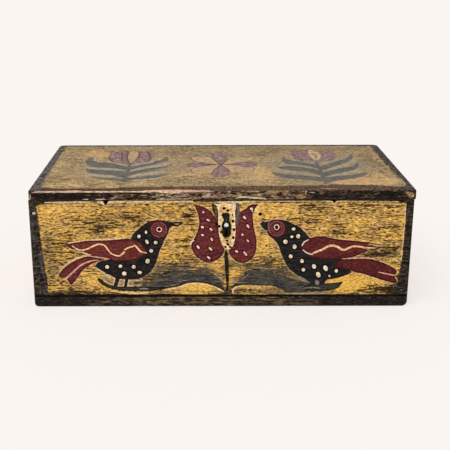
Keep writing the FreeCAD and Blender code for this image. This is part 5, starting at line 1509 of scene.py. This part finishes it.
class BoxFrontBoard(bpy.types.Operator):
    """Paint the front board: birds, tulip and leaves on brushed ochre"""

    bl_idname = "painted_box.front_board"
    bl_label = "Front board"

    def execute(self, context):
        mesh = board_copy("front_board")
        pitch = mesh_pitch()
        strips = cut_across(mesh, facing(mesh, Y_AXIS, -1) + front_arris(mesh), X_AXIS, pitch)
        cut_across(mesh, [strip for strip in strips if strip.normal.y < -FLAT], Z_AXIS, pitch)
        slot_by_face(mesh, self.choose)
        materials = [front_finish(), black_finish("front board black"), pine_finish("front board pine")]
        board = finish_board(mesh, "front_board_painted", "front_board", "box", materials)
        place = places(board.data)
        chosen = np.flatnonzero(place[:, Y_AXIS] < FRONT_LOW.y + FRONT_REACH)
        paint_front(place[chosen, X_AXIS], place[chosen, Z_AXIS]).store(board.data, chosen, "front_")
        return {"FINISHED"}

    def choose(self, normal, place):
        if normal.y < -0.3:
            return FACE
        inside = place.y > FRONT_HIGH.y - 0.5 or normal.z > 0.7
        return INSIDE if inside else EDGES


class BoxLidBoard(bpy.types.Operator):
    """Paint the lid: two flowers and a rosette on top, worn black edges, bare pine below"""

    bl_idname = "painted_box.lid_board"
    bl_label = "Lid board"

    def execute(self, context):
        mesh = board_copy("lid_board")
        pitch = mesh_pitch(1.2)
        painted = facing(mesh, Z_AXIS, 1) + front_arris(mesh) + facing(mesh, Y_AXIS, -1)
        strips = cut_across(mesh, painted, X_AXIS, pitch)
        cut_across(mesh, [strip for strip in strips if strip.normal.z > FLAT], Y_AXIS, pitch)
        cut_across(mesh, [strip for strip in strips if strip.normal.y < -FLAT], Z_AXIS, pitch)
        slot_by_face(mesh, self.choose)
        materials = [lid_finish(), lid_edge_finish(), pine_finish("lid board pine")]
        board = finish_board(mesh, "lid_board_painted", "lid_board", "lid", materials)
        place = places(board.data)
        chosen = np.flatnonzero(place[:, Z_AXIS] > LID_HIGH.z - TOP_REACH)
        paint_lid(place[chosen, X_AXIS], place[chosen, Y_AXIS]).store(board.data, chosen, "lid_")
        chosen = np.flatnonzero(place[:, Y_AXIS] < LID_LOW.y + FRONT_REACH)
        paint_lid_edge(place[chosen, X_AXIS], place[chosen, Z_AXIS]).store(board.data, chosen, "edge_")
        return {"FINISHED"}

    def choose(self, normal, place):
        if normal.z > 0.6:
            return FACE
        return INSIDE if normal.z < -0.7 else EDGES


class BoxOtherBoards(bpy.types.Operator):
    """Finish the ends, the back and the bottom board"""

    bl_idname = "painted_box.other_boards"
    bl_label = "Ends, back and bottom"

    def execute(self, context):
        foot, head, side = BOTTOM_HIGH.z + 3, FRONT_HIGH.z - 4, 10
        back_panel = (FRONT_LOW.x + side, foot), (FRONT_HIGH.x - side, head)
        end_panel = (FRONT_LOW.y + side, foot), (-FRONT_LOW.y - side, head)
        self.finish_wall("back_board", X_AXIS, Y_AXIS, 1, *back_panel)
        self.finish_wall("left_end_board", Y_AXIS, X_AXIS, -1, *end_panel)
        self.finish_wall("right_end_board", Y_AXIS, X_AXIS, 1, *end_panel)
        mesh = board_copy("bottom_board")
        black, pine = range(2)
        slot_by_face(mesh, lambda normal, place: pine if normal.z > 0.7 else black)
        materials = [black_finish("bottom board black"), pine_finish("bottom board pine")]
        finish_board(mesh, "bottom_board_painted", "bottom_board", "box", materials)
        return {"FINISHED"}

    def finish_wall(self, node, grain, axis, sign, panel_low, panel_high):
        mesh = board_copy(node)

        def choose(normal, place):
            if normal[axis] * sign > 0.3:
                return FACE
            end_grain = grain == X_AXIS and abs(normal.x) > 0.7
            return EDGES if end_grain else INSIDE

        slot_by_face(mesh, choose)
        outside = end_finish(node + " paint", grain, panel_low, panel_high)
        materials = [outside, black_finish(node + " black"), pine_finish(node + " pine", grain)]
        finish_board(mesh, node + "_painted", node, "box", materials)


class BoxFittings(bpy.types.Operator):
    """Finish the plug, the nails, the hinges, the lock and the catch"""

    bl_idname = "painted_box.fittings"
    bl_label = "Plug, nails and irons"

    def execute(self, context):
        settings = irons()
        finishes = {
            "bare_wood": plug_finish(),
            "nail_iron": nail_finish(),
            "hinge_iron": iron_finish("hinge iron", settings.iron, 0.3, 0.8, 0.45),
            "screw_iron": iron_finish("screw iron", settings.iron, 0.2, 0.8, 0.42),
            # The lock's dark iron is partly painted shade inside the keyhole.
            "lock_iron": iron_finish("lock iron", settings.lock, 0.2, 0.6, 0.5),
            "worn_iron": iron_finish("rubbed iron", settings.bright, 0.0, 0.9, 0.32),
            "spring_steel": iron_finish("blued spring", settings.blued, 0.1, 0.9, 0.36),
        }
        for part in frame["record"]["subparts"]:
            if part["material_slot"] in finishes:
                self.dress(part["node"], finishes[part["material_slot"]])
        self.dress("lock_key_pin", key_pin_finish())
        return {"FINISHED"}

    def dress(self, node, material):
        data = nodes[node].data
        data.materials.clear()
        data.materials.append(material)


class BoxPanel(bpy.types.Panel):
    """Lists the steps that finish the box"""

    bl_idname = "VIEW3D_PT_painted_box"
    bl_label = "Painted Box"
    bl_space_type = "VIEW_3D"
    bl_region_type = "UI"
    bl_category = "Painted Box"

    def draw(self, context):
        for operator in OPERATORS:
            self.layout.operator(operator.bl_idname)
        for group in SETTINGS:
            settings = getattr(context.scene, group)
            for name in settings.bl_rna.properties.keys():
                if name not in ("rna_type", "name"):
                    self.layout.prop(settings, name)


SETTINGS = {
    "box_paint": BoxPaintSettings,
    "box_wood": BoxWoodSettings,
    "box_iron": BoxIronSettings,
    "box_stage": BoxStageSettings,
}
OPERATORS = (BoxStage, BoxFrontBoard, BoxLidBoard, BoxOtherBoards, BoxFittings)


def register():
    for name, group in SETTINGS.items():
        bpy.utils.register_class(group)
        setattr(bpy.types.Scene, name, bpy.props.PointerProperty(type=group))
    for made in (*OPERATORS, BoxPanel):
        bpy.utils.register_class(made)


def unregister():
    for made in reversed((*OPERATORS, BoxPanel)):
        bpy.utils.unregister_class(made)
    for name, group in SETTINGS.items():
        delattr(bpy.types.Scene, name)
        bpy.utils.unregister_class(group)


def main():
    register()
    bpy.ops.painted_box.stage()
    bpy.ops.painted_box.front_board()
    bpy.ops.painted_box.lid_board()
    bpy.ops.painted_box.other_boards()
    bpy.ops.painted_box.fittings()


if __name__ == "__main__":
    main()
